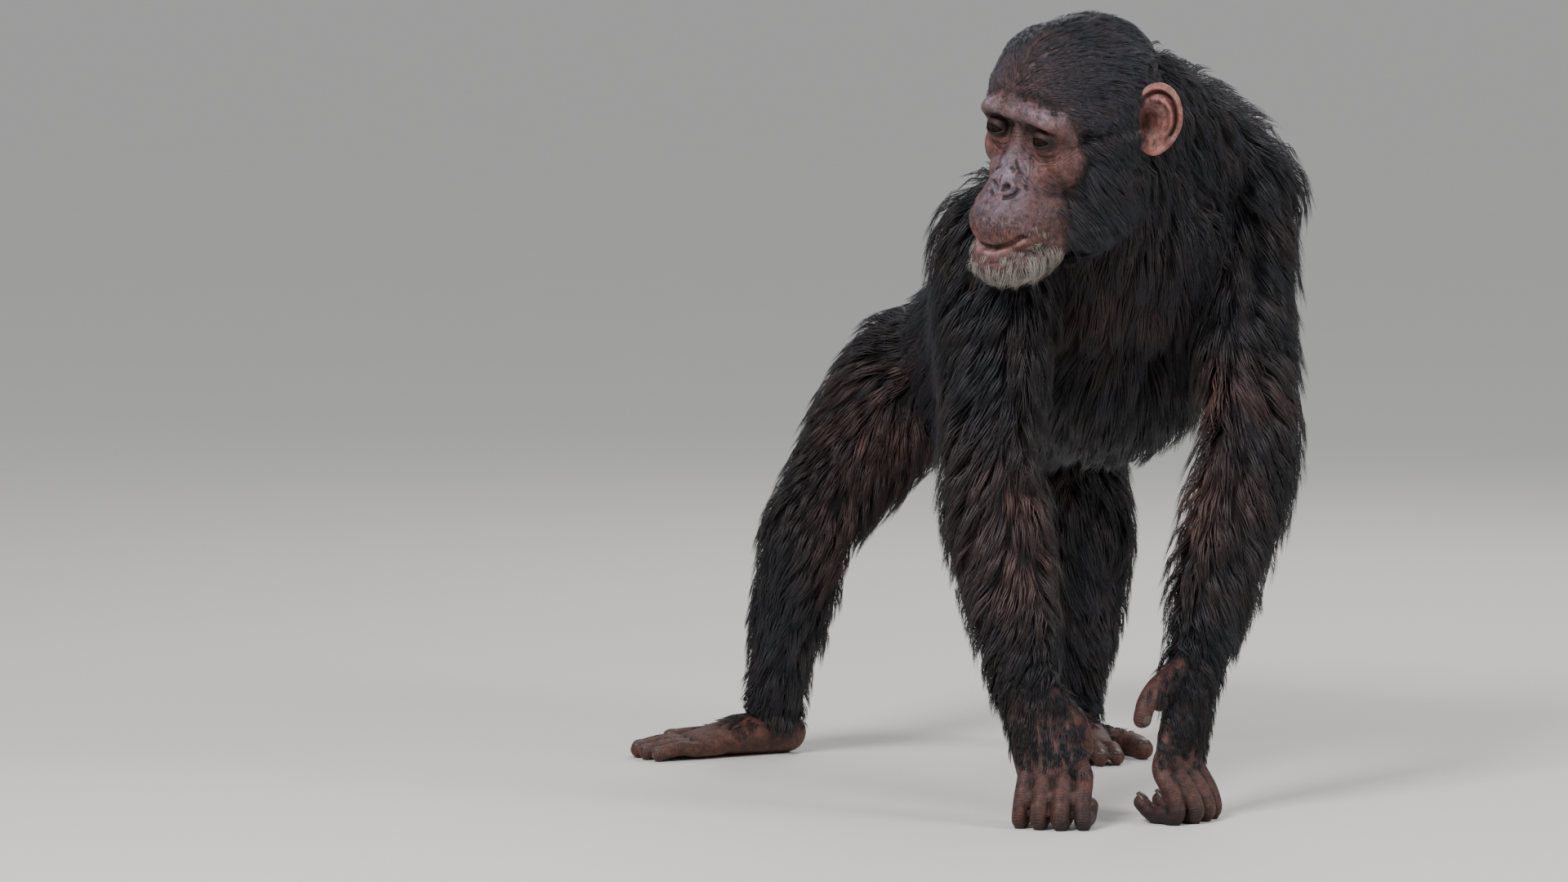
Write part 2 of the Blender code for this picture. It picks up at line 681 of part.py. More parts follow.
def contains(obj, point):
    """Whether a point is inside a closed mesh."""
    tree = BVHTree.FromPolygons([v.co for v in obj.data.vertices], [p.vertices for p in obj.data.polygons])
    at, ray, hits = Vector(point), Vector((0.123, 0.271, 0.955)).normalized(), 0
    while hits < 100:
        found = tree.ray_cast(at, ray)
        if found[0] is None:
            return hits % 2 == 1
        hits += 1
        at = found[0] + ray * 1e-6
    return False


# The coat's locks: thickness at the root, how far it is sunk there, and the height of its tip.
LOCK_THICK = 0.0085
LOCK_SHARES = (0.0, 0.32, 0.66, 1.0)
LOCK_LIFT = (-0.0030, 0.0048, 0.0082, 0.0095)


def surface_of(obj):
    return BVHTree.FromPolygons([v.co for v in obj.data.vertices],
                                [p.vertices for p in obj.data.polygons])


def lock_form(path, normals, width, thick):
    """A flat, tapered, bent lock with a ridge along its back and a pointed tip."""
    points, faces = [], []
    count = len(path) - 1
    for i in range(count):
        way = unit(path[i + 1] - path[max(i - 1, 0)])
        across = unit(np.cross(normals[i], way))
        up = np.cross(way, across)
        share = i / count
        half = width / 2 * (0.72 + 1.1 * share - 1.55 * share**2)
        high = thick * (1 - 0.55 * share)
        for side, lift in ((1, -0.35), (0, 0.65), (-1, -0.35)):
            points.append(path[i] + across * half * side + up * high * lift)
    points.append(path[-1])
    for i in range(count - 1):
        for k in range(3):
            n = (k + 1) % 3
            faces += [(3 * i + k, 3 * i + n, 3 * i + 3 + n), (3 * i + k, 3 * i + 3 + n, 3 * i + 3 + k)]
    last = 3 * (count - 1)
    faces += [(last + k, last + (k + 1) % 3, len(points) - 1) for k in range(3)]
    faces.append((2, 1, 0))
    return points, faces


def lock_path(surface, root, way, length, lift_scale):
    """Carries a lock over the surface along its lie, rising towards its tip."""
    path, normals = [], []
    at = Vector(root)
    step = length / (len(LOCK_SHARES) - 1)
    for rise in LOCK_LIFT:
        at, normal = surface.find_nearest(at)[:2]
        path.append(vec(at) + vec(normal) * rise * lift_scale)
        normals.append(vec(normal))
        tangent = vec(way) - vec(normal) * np.dot(vec(way), vec(normal))
        if np.linalg.norm(tangent) < 0.05:
            return None, None
        at = at + Vector(unit(tangent)) * step
    return path, normals


def clear_of_blades(path):
    """Whether a lock crosses no blade's plane at the blade's rim."""
    for centre, normal, radius in CUTS + limb_cuts():
        n = unit(normal)
        sides = [float(np.dot(q - vec(centre), n)) for q in path]
        if min(sides) > 0.004 or max(sides) < -0.004:
            continue
        reach = max(float(np.linalg.norm(q - vec(centre) - n * h)) for q, h in zip(path, sides)
                    if abs(h) < 0.05)
        if abs(reach - radius) < 0.010:
            return False
    return True


def lie_of_coat(p):
    """Which way the hair runs at a place on the body."""
    limbs = []
    for side in (LEFT, RIGHT):
        out = vec((0.35 * side, 0, 0))
        down_arm = unit(vec(ELBOW[side]) - vec(SHOULDER[side]))
        down_thigh = unit(vec(KNEE[side]) - vec(HIP[side]))
        limbs += [
            (SHOULDER[side], ELBOW[side], 0.045, down_arm + vec((0, 0.35, 0)) + out),
            (ELBOW[side], WRIST[side], 0.035, vec((0, 0.9, 0.15)) + 2 * out),
            (HIP[side], KNEE[side], 0.060, down_thigh + vec((0, 0.5, -0.3))),
            (KNEE[side], ANKLE[side], 0.035, vec((0, 0.45, -0.8))),
        ]
    for a, b in zip(TRUNK[:-1], TRUNK[1:]):
        back = unit(vec(b[:3]) - vec(a[:3]))
        limbs.append((a[:3], b[:3], 0.105, back + vec((0, 0, -0.55))))
    crest = head_point(0, 8.8, -3.3)
    limbs.append((crest, TRUNK[0][:3], 0.070, vec((0.1, 0.45, -0.9))))
    nearest, lie = 1e9, None
    for a, b, thick, way in limbs:
        run = vec(b) - vec(a)
        share = min(max(float((p - vec(a)) @ run / (run @ run)), 0), 1)
        away = float(np.linalg.norm(p - vec(a) - run * share)) / thick
        if away < nearest:
            nearest, lie = away, way
    return unit(lie)


def surface_points(obj, count, apart, dice):
    """Seeded places on a mesh, no two closer than the given distance."""
    obj.data.calc_loop_triangles()
    corners = points_of(obj)[[list(t.vertices) for t in obj.data.loop_triangles]]
    areas = np.linalg.norm(np.cross(corners[:, 1] - corners[:, 0], corners[:, 2] - corners[:, 0]), axis=1)
    places = []
    for _ in range(count * 30):
        a, b, c = corners[dice.choices(range(len(areas)), cum_weights=np.cumsum(areas))[0]]
        u, v = sorted((dice.random(), dice.random()))
        place = a * u + b * (v - u) + c * (1 - v)
        if all(np.linalg.norm(place - other) > apart for other in places):
            places.append(place)
        if len(places) == count:
            break
    return places


def coat_locks(body, bare):
    """Locks over the body, left out where they would meet bare parts or another limb."""
    dice = random.Random(22)
    surface = surface_of(body)
    bare_surfaces = [surface_of(obj) for obj in bare]
    locks = []
    for root in surface_points(body, 150, 0.073, dice):
        length = dice.uniform(0.084, 0.108)
        width = dice.uniform(0.046, 0.058)
        sway = vec([dice.uniform(-0.18, 0.18) for _ in range(3)])
        path, normals = lock_path(surface, root, lie_of_coat(root) + sway, length, dice.uniform(0.85, 1.15))
        if path is None or not clear_of_blades(path):
            continue
        if any(other.find_nearest(Vector(q))[3] < 0.016 for other in bare_surfaces for q in path):
            continue
        ahead = [surface.ray_cast(Vector(q + n * 0.012), Vector(n), 0.030) for q, n in zip(path, normals)]
        if any(hit[0] is not None for hit in ahead):
            continue
        locks.append(lock_form(path, normals, width, LOCK_THICK))
    return locks


def ruff_locks(head):
    """The long cheek hair on both sides of the face, and the short white beard."""
    dice = random.Random(5)
    surface = surface_of(head)
    locks = []

    def grow(place, way, length, width, thick, rise):
        way = HEAD_AXES @ vec(way)
        path, normals = lock_path(surface, head_point(*place), way, length, rise)
        if path is not None:
            locks.append(lock_form(path, normals, width, thick))

    for side in (LEFT, RIGHT):
        for row, (x, y) in enumerate(((5.4, 4.6), (6.2, 6.6))):
            for step in range(4 - row):
                place = (x * side, y, -0.6 - 2.3 * step - 0.6 * row)
                way = (0.35 * side, 0.55, -0.75 - 0.05 * step)
                grow(place, way, dice.uniform(0.042, 0.054), dice.uniform(0.022, 0.028), 0.008, 1.0)
    for step in range(5):
        turn = math.radians(-60 + 30 * step)
        place = (3.6 * math.sin(turn), 0.6 - 3.6 * math.cos(turn), -11.2)
        way = (0.15 * math.sin(turn), 0.25 - 0.1 * math.cos(turn), -1.0)
        grow(place, way, dice.uniform(0.019, 0.024), 0.018, 0.007, 0.8)
    return locks


def with_locks(obj, locks):
    name = obj.name
    boolean(obj, "UNION", [new_closed("lock", *lock) for lock in locks])
    obj.name = name
    return largest(obj)


def new_closed(name, points, faces):
    obj = new_object(name, points, faces)
    face_outwards(obj)
    return obj


COLOURS = {
    # sRGB hex, roughness
    "coat": ("17151a", 0.75), "face": ("6b4a40", 0.6), "ear": ("8a6354", 0.6),
    "eye": ("1c100a", 0.12), "hand": ("5a403a", 0.65), "foot": ("6a4a40", 0.65),
}


def linear(hex_colour):
    values = [int(hex_colour[i : i + 2], 16) / 255 for i in (0, 2, 4)]
    return [v / 12.92 if v <= 0.04045 else ((v + 0.055) / 1.055) ** 2.4 for v in values]


def in_triangles(obj):
    """Splits the faces into triangles, in the first way that leaves two faces on every edge."""
    for many_sided in ("BEAUTY", "EAR_CLIP"):
        work = bmesh.new()
        work.from_mesh(obj.data)
        straight = [v for v in work.verts if len(v.link_edges) == 2]
        bmesh.ops.dissolve_verts(work, verts=straight)
        bmesh.ops.triangulate(work, faces=work.faces, ngon_method=many_sided)
        clean = all(len(e.link_faces) == 2 for e in work.edges)
        if clean:
            work.to_mesh(obj.data)
        work.free()
        if clean:
            return


def finish(obj, kind, origin):
    """Gives an object its material and its own origin."""
    in_triangles(obj)
    colour, roughness = COLOURS[kind]
    material = bpy.data.materials.new(obj.name)
    material.use_nodes = True
    shader = material.node_tree.nodes["Principled BSDF"]
    shader.inputs["Base Color"].default_value = (*linear(colour), 1)
    shader.inputs["Roughness"].default_value = roughness
    shader.inputs["Metallic"].default_value = 0.0
    obj.data.materials.clear()
    obj.data.materials.append(material)
    obj.data.transform(Matrix.Translation(-Vector(origin)))
    obj.location = Vector(origin)


def stand_together():
    """Parents every part to one empty, which brings the model's middle over the origin."""
    stand = bpy.data.objects.new("chimpanzee", None)
    bpy.context.scene.collection.objects.link(stand)
    stand.location = (-MIDDLE[0], -MIDDLE[1], 0)
    for obj in bpy.data.objects:
        if obj.type == "MESH":
            obj.parent = stand


def body_parts(body):
    """Parts the body with the blades and names what is left by its seeds."""
    boolean(body, "DIFFERENCE", [disc(*cut) for cut in CUTS + limb_cuts()])
    pieces = loose_parts(body)
    for name, place in seeds().items():
        part = next(piece for piece in pieces if contains(piece, place))
        part.name = name
        finish(part, "coat", place)
        pieces.remove(part)
    for scrap in pieces:
        bpy.data.objects.remove(scrap)


def ears(head):
    """Both ears, clear of the head."""
    made = []
    for side in (LEFT, RIGHT):
        ear = ear_form(side, 6, 18)
        boolean(ear, "DIFFERENCE", [swell(copied(head), GAP)])
        made.append(largest(ear))
    return made


def eyes(head):
    """Eyeballs, and their sockets and slits in the head."""
    for side in (LEFT, RIGHT):
        centre = head_point(EYE_X * side, EYE_Y, EYE_Z)
        form = dict(axes=HEAD_AXES, rows=8, around=12)
        eye = new_object("eye_" + SIDE_NAMES[side], *ball(centre, [EYE_RADIUS] * 3, **form))
        face_outwards(eye)
        finish(eye, "eye", centre)
        socket = new_object("socket", *ball(centre, [EYE_RADIUS + GAP] * 3, **form))
        face_outwards(socket)
        boolean(head, "DIFFERENCE", [socket])
        boolean(head, "DIFFERENCE", [eye_cutter(side)])


def main():
    for old in list(bpy.data.objects):
        bpy.data.objects.remove(old)
    body = thinned(fused("body", body_shapes(CORE_SHARE), 0.006, 14), 2700)
    head = head_form(0.0022, 0.5, 2700)
    hands, feet = [], []
    for side in (LEFT, RIGHT):
        hand = fused("hand_" + SIDE_NAMES[side], hand_shapes(side), 0.0022, 2)
        hands.append(flat_underneath(thinned(flat_underneath(hand), 640)))
        foot = fused("foot_" + SIDE_NAMES[side], foot_shapes(side), 0.0024, 2)
        feet.append(flat_underneath(thinned(flat_underneath(foot), 520)))
    both_ears = ears(head)
    ends = [head] + both_ears + hands + feet
    ruff = ruff_locks(head)
    body = with_locks(body, coat_locks(body, ends))
    clearance = [swell(copied(end), GAP) for end in ends]
    clearance += [swell(new_closed("lock", *lock), 4 * GAP) for lock in ruff]
    boolean(body, "DIFFERENCE", clearance)
    head = with_locks(head, ruff)
    boolean(body, "DIFFERENCE", [copied(head)])
    body_parts(body)
    eyes(head)
    finish(largest(head), "face", vec(EYE_LINE))
    for ear, hand, foot, side in zip(both_ears, hands, feet, (LEFT, RIGHT)):
        finish(ear, "ear", head_point(7.4 * side, 10.4, -0.2))
        finish(largest(hand), "hand", vec(WRIST[side]))
        finish(largest(foot), "foot", vec(ANKLE[side]))
    stand_together()


main()
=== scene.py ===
"""The looks of a life-size chimpanzee: one skin, eyes, nails and a coat of hair, on a stage.

Metres, +Z up. The animal faces -Y and its left is +X. The flesh is modelled about the joints
below, and every finished mesh is then moved by STAND, which centres the model on the origin.
"""

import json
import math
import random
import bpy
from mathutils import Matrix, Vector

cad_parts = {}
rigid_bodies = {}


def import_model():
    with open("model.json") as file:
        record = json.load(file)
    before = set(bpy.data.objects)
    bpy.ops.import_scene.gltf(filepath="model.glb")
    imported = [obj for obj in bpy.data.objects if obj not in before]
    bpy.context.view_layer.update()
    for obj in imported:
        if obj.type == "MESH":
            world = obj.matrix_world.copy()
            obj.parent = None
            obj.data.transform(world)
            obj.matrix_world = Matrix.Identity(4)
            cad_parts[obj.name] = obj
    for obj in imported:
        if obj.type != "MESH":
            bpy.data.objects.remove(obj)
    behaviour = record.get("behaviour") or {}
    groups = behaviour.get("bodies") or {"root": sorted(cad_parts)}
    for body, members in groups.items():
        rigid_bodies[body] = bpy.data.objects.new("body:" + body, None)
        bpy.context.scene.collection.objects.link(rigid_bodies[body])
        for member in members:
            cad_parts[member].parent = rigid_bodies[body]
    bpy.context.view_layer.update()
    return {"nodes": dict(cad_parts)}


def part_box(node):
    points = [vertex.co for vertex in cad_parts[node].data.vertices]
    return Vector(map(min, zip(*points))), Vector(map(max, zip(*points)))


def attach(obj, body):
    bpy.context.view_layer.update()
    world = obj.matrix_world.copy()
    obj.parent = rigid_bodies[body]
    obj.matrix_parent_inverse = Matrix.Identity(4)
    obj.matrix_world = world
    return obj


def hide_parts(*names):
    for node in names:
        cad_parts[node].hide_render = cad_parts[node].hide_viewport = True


bl_info = {
    "name": "Standing chimpanzee",
    "version": (1, 0, 0),
    "blender": (4, 5, 0),
    "location": "View3D > Sidebar > Chimpanzee",
    "description": "Builds the skin, eyes, nails and coat of a life-size chimpanzee",
    "category": "Add Mesh",
}

import bmesh
import bpy
import numpy as np
from bpy.props import FloatProperty, FloatVectorProperty, IntProperty, PointerProperty
from mathutils import Matrix, Vector

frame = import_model()

LEFT, RIGHT = 1, -1
SIDE_NAMES = {LEFT: "left", RIGHT: "right"}
STAND = (0.0180, 0.0034, 0.0)
CM = 0.01

# Joints, each the middle of the joint in metres.
SHOULDER = {LEFT: (0.238, -0.078, 0.556), RIGHT: (0.020, -0.165, 0.524)}
ELBOW = {LEFT: (0.258, -0.198, 0.352), RIGHT: (0.008, -0.250, 0.324)}
WRIST = {LEFT: (0.199, -0.272, 0.144), RIGHT: (0.038, -0.308, 0.132)}
HIP = {LEFT: (0.073, 0.285, 0.362), RIGHT: (-0.056, 0.238, 0.372)}
KNEE = {LEFT: (0.119, 0.105, 0.232), RIGHT: (-0.160, 0.108, 0.230)}
ANKLE = {LEFT: (0.110, 0.218, 0.060), RIGHT: (-0.191, 0.178, 0.058)}
EYE_LINE = (0.033, -0.320, 0.633)
HEAD_TURN = math.radians(-47)
HEAD_NOD = math.radians(12)
HEAD_TILT = math.radians(12.5)


def linear(hex_colour):
    """An sRGB hex colour as linear red, green and blue."""
    values = [int(hex_colour[i : i + 2], 16) / 255 for i in (0, 2, 4)]
    return [v / 12.92 if v <= 0.04045 else ((v + 0.055) / 1.055) ** 2.4 for v in values]


def vec(point):
    return np.array(point, float)


def unit(v):
    v = np.asarray(v, float)
    return v / np.maximum(np.linalg.norm(v, axis=-1, keepdims=True), 1e-9)


def along(a, b, share):
    """The point a share of the way from a to b."""
    return vec(a) + (vec(b) - vec(a)) * share


def smooth(low, high, value):
    """Rises softly from 0 at low to 1 at high."""
    t = np.clip((np.asarray(value, float) - low) / (high - low), 0, 1)
    return t * t * (3 - 2 * t)


def near(local, place, radii):
    """1 at a place, falling off over the given radii."""
    return np.exp(-(((local - vec(place)) / vec(radii)) ** 2).sum(-1))


def head_frame():
    """Rotation of the head: local x is its left, y its back and z its crown."""
    turn = Matrix.Rotation(HEAD_TURN, 3, "Z")
    nod = Matrix.Rotation(HEAD_NOD, 3, "X")
    tilt = Matrix.Rotation(HEAD_TILT, 3, "Y")
    return np.array(turn @ nod @ tilt)


HEAD_AXES = head_frame()


def head_point(x, y, z):
    """A place on the head, given in centimetres from the middle of the eye line."""
    return vec(EYE_LINE) + HEAD_AXES @ (vec((x, y, z)) * CM)


def head_local(points):
    """Places in centimetres from the middle of the eye line, along the head's own axes."""
    return (np.asarray(points) - vec(EYE_LINE)) @ HEAD_AXES / CM


# Mesh pieces are pairs of points and faces until they are fused.


def catmull(points, per_span):
    """A smooth row of points through the given ones, a few for each span."""
    p = np.asarray(points, float)
    ends = np.vstack([2 * p[0] - p[1], p, 2 * p[-1] - p[-2]])
    row = []
    for i in range(len(p) - 1):
        a, b, c, d = ends[i : i + 4]
        for t in np.linspace(0, 1, per_span, endpoint=False):
            row.append(
                0.5 * (2 * b + (c - a) * t + (2 * a - 5 * b + 4 * c - d) * t**2
                       + (3 * b - a - 3 * c + d) * t**3)
            )
    return np.array(row + [p[-1]])


def loft(stations, depth_side, around=24, per_span=7, cap_rings=4):
    """A closed limb. Each station is x, y, z, half width and half depth."""
    row = catmull(stations, per_span)
    centres, widths, depths = row[:, :3], row[:, 3], row[:, 4]
    tangents = np.gradient(centres, axis=0)
    rings, middles = [], []
    angles = np.linspace(0, 2 * math.pi, around, endpoint=False)

    def ring(centre, tangent, half_width, half_depth):
        t = unit(tangent)
        deep = unit(vec(depth_side) - np.dot(vec(depth_side), t) * t)
        wide = np.cross(t, deep)
        rings.append(
            centre
            + np.outer(np.cos(angles) * half_width, wide)
            + np.outer(np.sin(angles) * half_depth, deep)
        )

    def cap(centre, tangent, half_width, half_depth, outward):
        steps = [math.pi / 2 * k / (cap_rings + 1) for k in range(1, cap_rings + 1)]
        reach = min(half_width, half_depth)
        t = unit(tangent) * outward
        for phi in steps if outward > 0 else reversed(steps):
            ring(centre + t * reach * math.sin(phi), tangent,
                 half_width * math.cos(phi), half_depth * math.cos(phi))
        middles.append(centre + t * reach)

    cap(centres[0], tangents[0], widths[0], depths[0], -1)
    for centre, tangent, half_width, half_depth in zip(centres, tangents, widths, depths):
        ring(centre, tangent, half_width, half_depth)
    cap(centres[-1], tangents[-1], widths[-1], depths[-1], 1)
    count = len(rings)
    points = np.vstack(rings + [middles[0][None], middles[1][None]])
    faces = []
    for r in range(count - 1):
        for k in range(around):
            n = (k + 1) % around
            faces.append((r * around + k, r * around + n,
                          (r + 1) * around + n, (r + 1) * around + k))
    first, last = count * around, count * around + 1
    for k in range(around):
        n = (k + 1) % around
        faces.append((first, n, k))
        faces.append((last, (count - 1) * around + k, (count - 1) * around + n))
    return points, faces


def ball(centre, radii, axes=None, rows=20, around=32):
    """An ellipsoid with its radii along the given axes."""
    axes = np.eye(3) if axes is None else axes
    points, faces = [(0, 0, 1)], []
    for r in range(1, rows):
        polar = math.pi * r / rows
        for k in range(around):
            turn = 2 * math.pi * k / around
            points.append((math.sin(polar) * math.cos(turn),
                           math.sin(polar) * math.sin(turn), math.cos(polar)))
    points.append((0, 0, -1))
    last = len(points) - 1
    for k in range(around):
        n = (k + 1) % around
        faces.append((0, 1 + k, 1 + n))
        for r in range(rows - 2):
            top, low = 1 + r * around, 1 + (r + 1) * around
            faces.append((top + k, low + k, low + n, top + n))
        bottom = 1 + (rows - 2) * around
        faces.append((last, bottom + n, bottom + k))
    return np.array(points) * vec(radii) @ np.asarray(axes).T + vec(centre), faces


def new_object(name, points, faces):
    mesh = bpy.data.meshes.new(name)
    mesh.from_pydata([tuple(p) for p in points], [], [tuple(f) for f in faces])
    mesh.update()
    obj = bpy.data.objects.new(name, mesh)
    bpy.context.scene.collection.objects.link(obj)
    return obj


def face_outwards(obj):
    work = bmesh.new()
    work.from_mesh(obj.data)
    bmesh.ops.recalc_face_normals(work, faces=work.faces)
    work.to_mesh(obj.data)
    work.free()


def joined(name, shapes):
    """Several closed pieces in one mesh, which still cross each other."""
    points, faces, start = [], [], 0
    for p, f in shapes:
        points.append(np.asarray(p))
        faces += [tuple(i + start for i in face) for face in f]
        start += len(p)
    obj = new_object(name, np.vstack(points), faces)
    face_outwards(obj)
    return obj


def settle(obj):
    """Puts the evaluated mesh in place of the object's mesh and modifiers."""
    graph = bpy.context.evaluated_depsgraph_get()
    mesh = bpy.data.meshes.new_from_object(obj.evaluated_get(graph))
    old = obj.data
    obj.modifiers.clear()
    obj.data = mesh
    bpy.data.meshes.remove(old)
    return obj


def in_voxels(obj, voxel, rounds):
    """One closed surface of even quads, softened by a few rounds."""
    remesh = obj.modifiers.new("Voxels", "REMESH")
    remesh.mode = "VOXEL"
    remesh.voxel_size = voxel
    if rounds:
        soften = obj.modifiers.new("Soften", "SMOOTH")
        soften.factor = 0.5
        soften.iterations = rounds
    return settle(obj)


def fused(name, shapes, voxel, rounds):
    return in_voxels(joined(name, shapes), voxel, rounds)


def points_of(obj):
    co = np.empty(len(obj.data.vertices) * 3, np.float32)
    obj.data.vertices.foreach_get("co", co)
    return co.reshape(-1, 3).astype(float)


def set_points(obj, points):
    obj.data.vertices.foreach_set("co", np.asarray(points, np.float32).ravel())
    obj.data.update()


def normals_of(obj):
    normals = np.empty(len(obj.data.vertices) * 3, np.float32)
    obj.data.vertices.foreach_get("normal", normals)
    return normals.reshape(-1, 3).astype(float)


def thinned(obj, triangles, keep=None):
    """Collapses edges until about this many triangles are left, last of all where keep is near 1."""
    obj.data.calc_loop_triangles()
    ratio = min(1.0, triangles / len(obj.data.loop_triangles))
    collapse = obj.modifiers.new("Thin", "DECIMATE")
    collapse.ratio = ratio
    collapse.use_collapse_triangulate = True
    if keep is not None:
        group = obj.vertex_groups.new(name="Thin")
        steps = np.round((1 - np.asarray(keep, float)) * 8) / 8
        for step in np.unique(steps):
            group.add(np.flatnonzero(steps == step).tolist(), float(max(step, 0.01)), "REPLACE")
        collapse.vertex_group = group.name
    settle(obj)
    obj.vertex_groups.clear()
    return obj


def boolean(obj, operation, others):
    """Joins or cuts with a list of closed mesh objects, which are then removed."""
    group = bpy.data.collections.new("Operands")
    for other in others:
        group.objects.link(other)
    change = obj.modifiers.new(operation.title(), "BOOLEAN")
    change.operation = operation
    change.solver = "MANIFOLD"
    change.operand_type = "COLLECTION"
    change.collection = group
    settle(obj)
    for other in list(group.objects):
        bpy.data.objects.remove(other)
    bpy.data.collections.remove(group)
    return obj


def give(mesh, name, values, kind="FLOAT", domain="POINT"):
    """Stores a row of numbers on a mesh as a named attribute."""
    stored = mesh.attributes.new(name, kind, domain)
    field = {"FLOAT": "value", "FLOAT_VECTOR": "vector", "FLOAT_COLOR": "color"}[kind]
    stored.data.foreach_set(field, np.asarray(values, np.float32).ravel())


def shown(obj, name, material, replaced=()):
    """Hands a finished mesh over: in its place, shaded, riding on the frame."""
    obj.data.transform(Matrix.Translation(STAND))
    obj.data.materials.clear()
    obj.data.materials.append(material)
    obj.data.polygons.foreach_set("use_smooth", [True] * len(obj.data.polygons))
    obj.name = name
    obj.data.name = name
    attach(obj, "root")
    if replaced:
        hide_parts(*replaced)
    return obj


# The flesh. Half widths and half depths are in metres, without the coat.

TRUNK = [
    # x, y, z, half width, half depth, coat
    (0.146, -0.165, 0.540, 0.072, 0.066, 0.024),
    (0.132, -0.095, 0.500, 0.102, 0.092, 0.026),
    (0.106, 0.000, 0.462, 0.108, 0.100, 0.026),
    (0.072, 0.105, 0.418, 0.100, 0.104, 0.024),
    (0.034, 0.200, 0.388, 0.092, 0.094, 0.022),
    (0.006, 0.280, 0.372, 0.084, 0.076, 0.018),
    (-0.004, 0.318, 0.364, 0.058, 0.050, 0.014),
]
UPPER_ARM = [(0.00, 0.050, 0.052), (0.30, 0.044, 0.046), (0.65, 0.035, 0.037), (1.00, 0.031, 0.033)]
FOREARM = [(0.00, 0.031, 0.033), (0.22, 0.036, 0.037), (0.55, 0.034, 0.033),
           (0.85, 0.027, 0.023), (1.02, 0.024, 0.018)]
THIGH = [(0.00, 0.060, 0.066), (0.35, 0.058, 0.062), (0.70, 0.045, 0.048), (1.00, 0.037, 0.038)]
SHANK = [(0.00, 0.037, 0.038), (0.25, 0.035, 0.040), (0.60, 0.030, 0.032),
         (0.90, 0.024, 0.025), (1.03, 0.022, 0.024)]


def limb(start, end, stations, depth_side):
    """A lofted limb between two joints."""
    return loft([(*along(start, end, share), wide, deep) for share, wide, deep in stations], depth_side)


def body_shapes():
    """Trunk, neck and limbs down to the wrists and ankles."""
    shapes = [loft([row[:5] for row in TRUNK], (0, 0, 1), around=32)]
    nape = head_point(0, 10.5, -2.5)
    throat = head_point(0, 7.2, -4.2)
    shapes.append(loft([
        (*along(nape, throat, 0.5), 0.056, 0.062),
        (0.128, -0.190, 0.578, 0.064, 0.066),
        (0.138, -0.130, 0.530, 0.080, 0.078),
    ], (0, 0.3, 1)))
    shapes.append(loft([
        (*head_point(0, 11.5, 0.0), 0.056, 0.050),
        (0.160, -0.165, 0.620, 0.058, 0.050),
        (0.166, -0.100, 0.570, 0.075, 0.052),
        (0.140, -0.030, 0.525, 0.080, 0.050),
    ], (0, 0.3, 1)))
    shapes.append(loft([
        (*head_point(2.0, 13.2, 1.3), 0.042, 0.040),
        (0.198, -0.120, 0.628, 0.046, 0.042),
        (*(vec(SHOULDER[LEFT]) + vec((-0.004, 0.015, 0.044))), 0.046, 0.040),
    ], (0, 0.3, 1)))
    shapes.append(ball((0.128, -0.050, 0.428), (0.094, 0.102, 0.100)))
    shapes.append(ball(vec(SHOULDER[LEFT]) + vec((0.006, 0.006, 0.014)), (0.056, 0.058, 0.058)))
    shapes.append(loft([
        (*(vec(SHOULDER[LEFT]) + vec((-0.030, 0.030, 0.012))), 0.042, 0.042),
        (0.158, 0.030, 0.500, 0.050, 0.048),
        (0.108, 0.110, 0.455, 0.050, 0.050),
    ], (0, 0.3, 1)))
    for side in (LEFT, RIGHT):
        shapes.append(limb(SHOULDER[side], ELBOW[side], UPPER_ARM, (0, -1, 0)))
        shapes.append(limb(ELBOW[side], WRIST[side], FOREARM, (0, -1, 0)))
        shapes.append(limb(HIP[side], KNEE[side], THIGH, (0, -1, 0.4)))
        shapes.append(limb(KNEE[side], ANKLE[side], SHANK, (0, -1, 0)))
        inward = along(SHOULDER[side], TRUNK[1][:3], 0.35)
        shapes.append(ball(inward + vec((0, 0.012, 0.004)), (0.062, 0.066, 0.060)))
        shoulder_top = vec(SHOULDER[side]) + vec((-0.012 * side, 0.010, 0.018))
        shapes.append(ball(shoulder_top, (0.054, 0.056, 0.050)))
        buttock = along(HIP[side], TRUNK[5][:3], 0.3)
        shapes.append(ball(buttock + vec((0, 0.012, -0.006)), (0.066, 0.070, 0.070)))
    return shapes


def head_loft(places, around=20):
    """A lofted form on the head. Each place is x, y, z, half width, half depth in centimetres."""
    rows = [(*head_point(*p[:3]), p[3] * CM, p[4] * CM) for p in places]
    return loft(rows, HEAD_AXES @ vec((0.1, -1, 0.15)), around=around)


def head_ball(centre, radii, nod=0.0):
    turned = HEAD_AXES @ np.array(Matrix.Rotation(math.radians(nod), 3, "X"))
    return ball(head_point(*centre), vec(radii) * CM, turned, rows=24, around=36)


EYE_X, EYE_Y, EYE_Z = 2.9, 0.42, 0.15
EYE_RADIUS = 0.0105


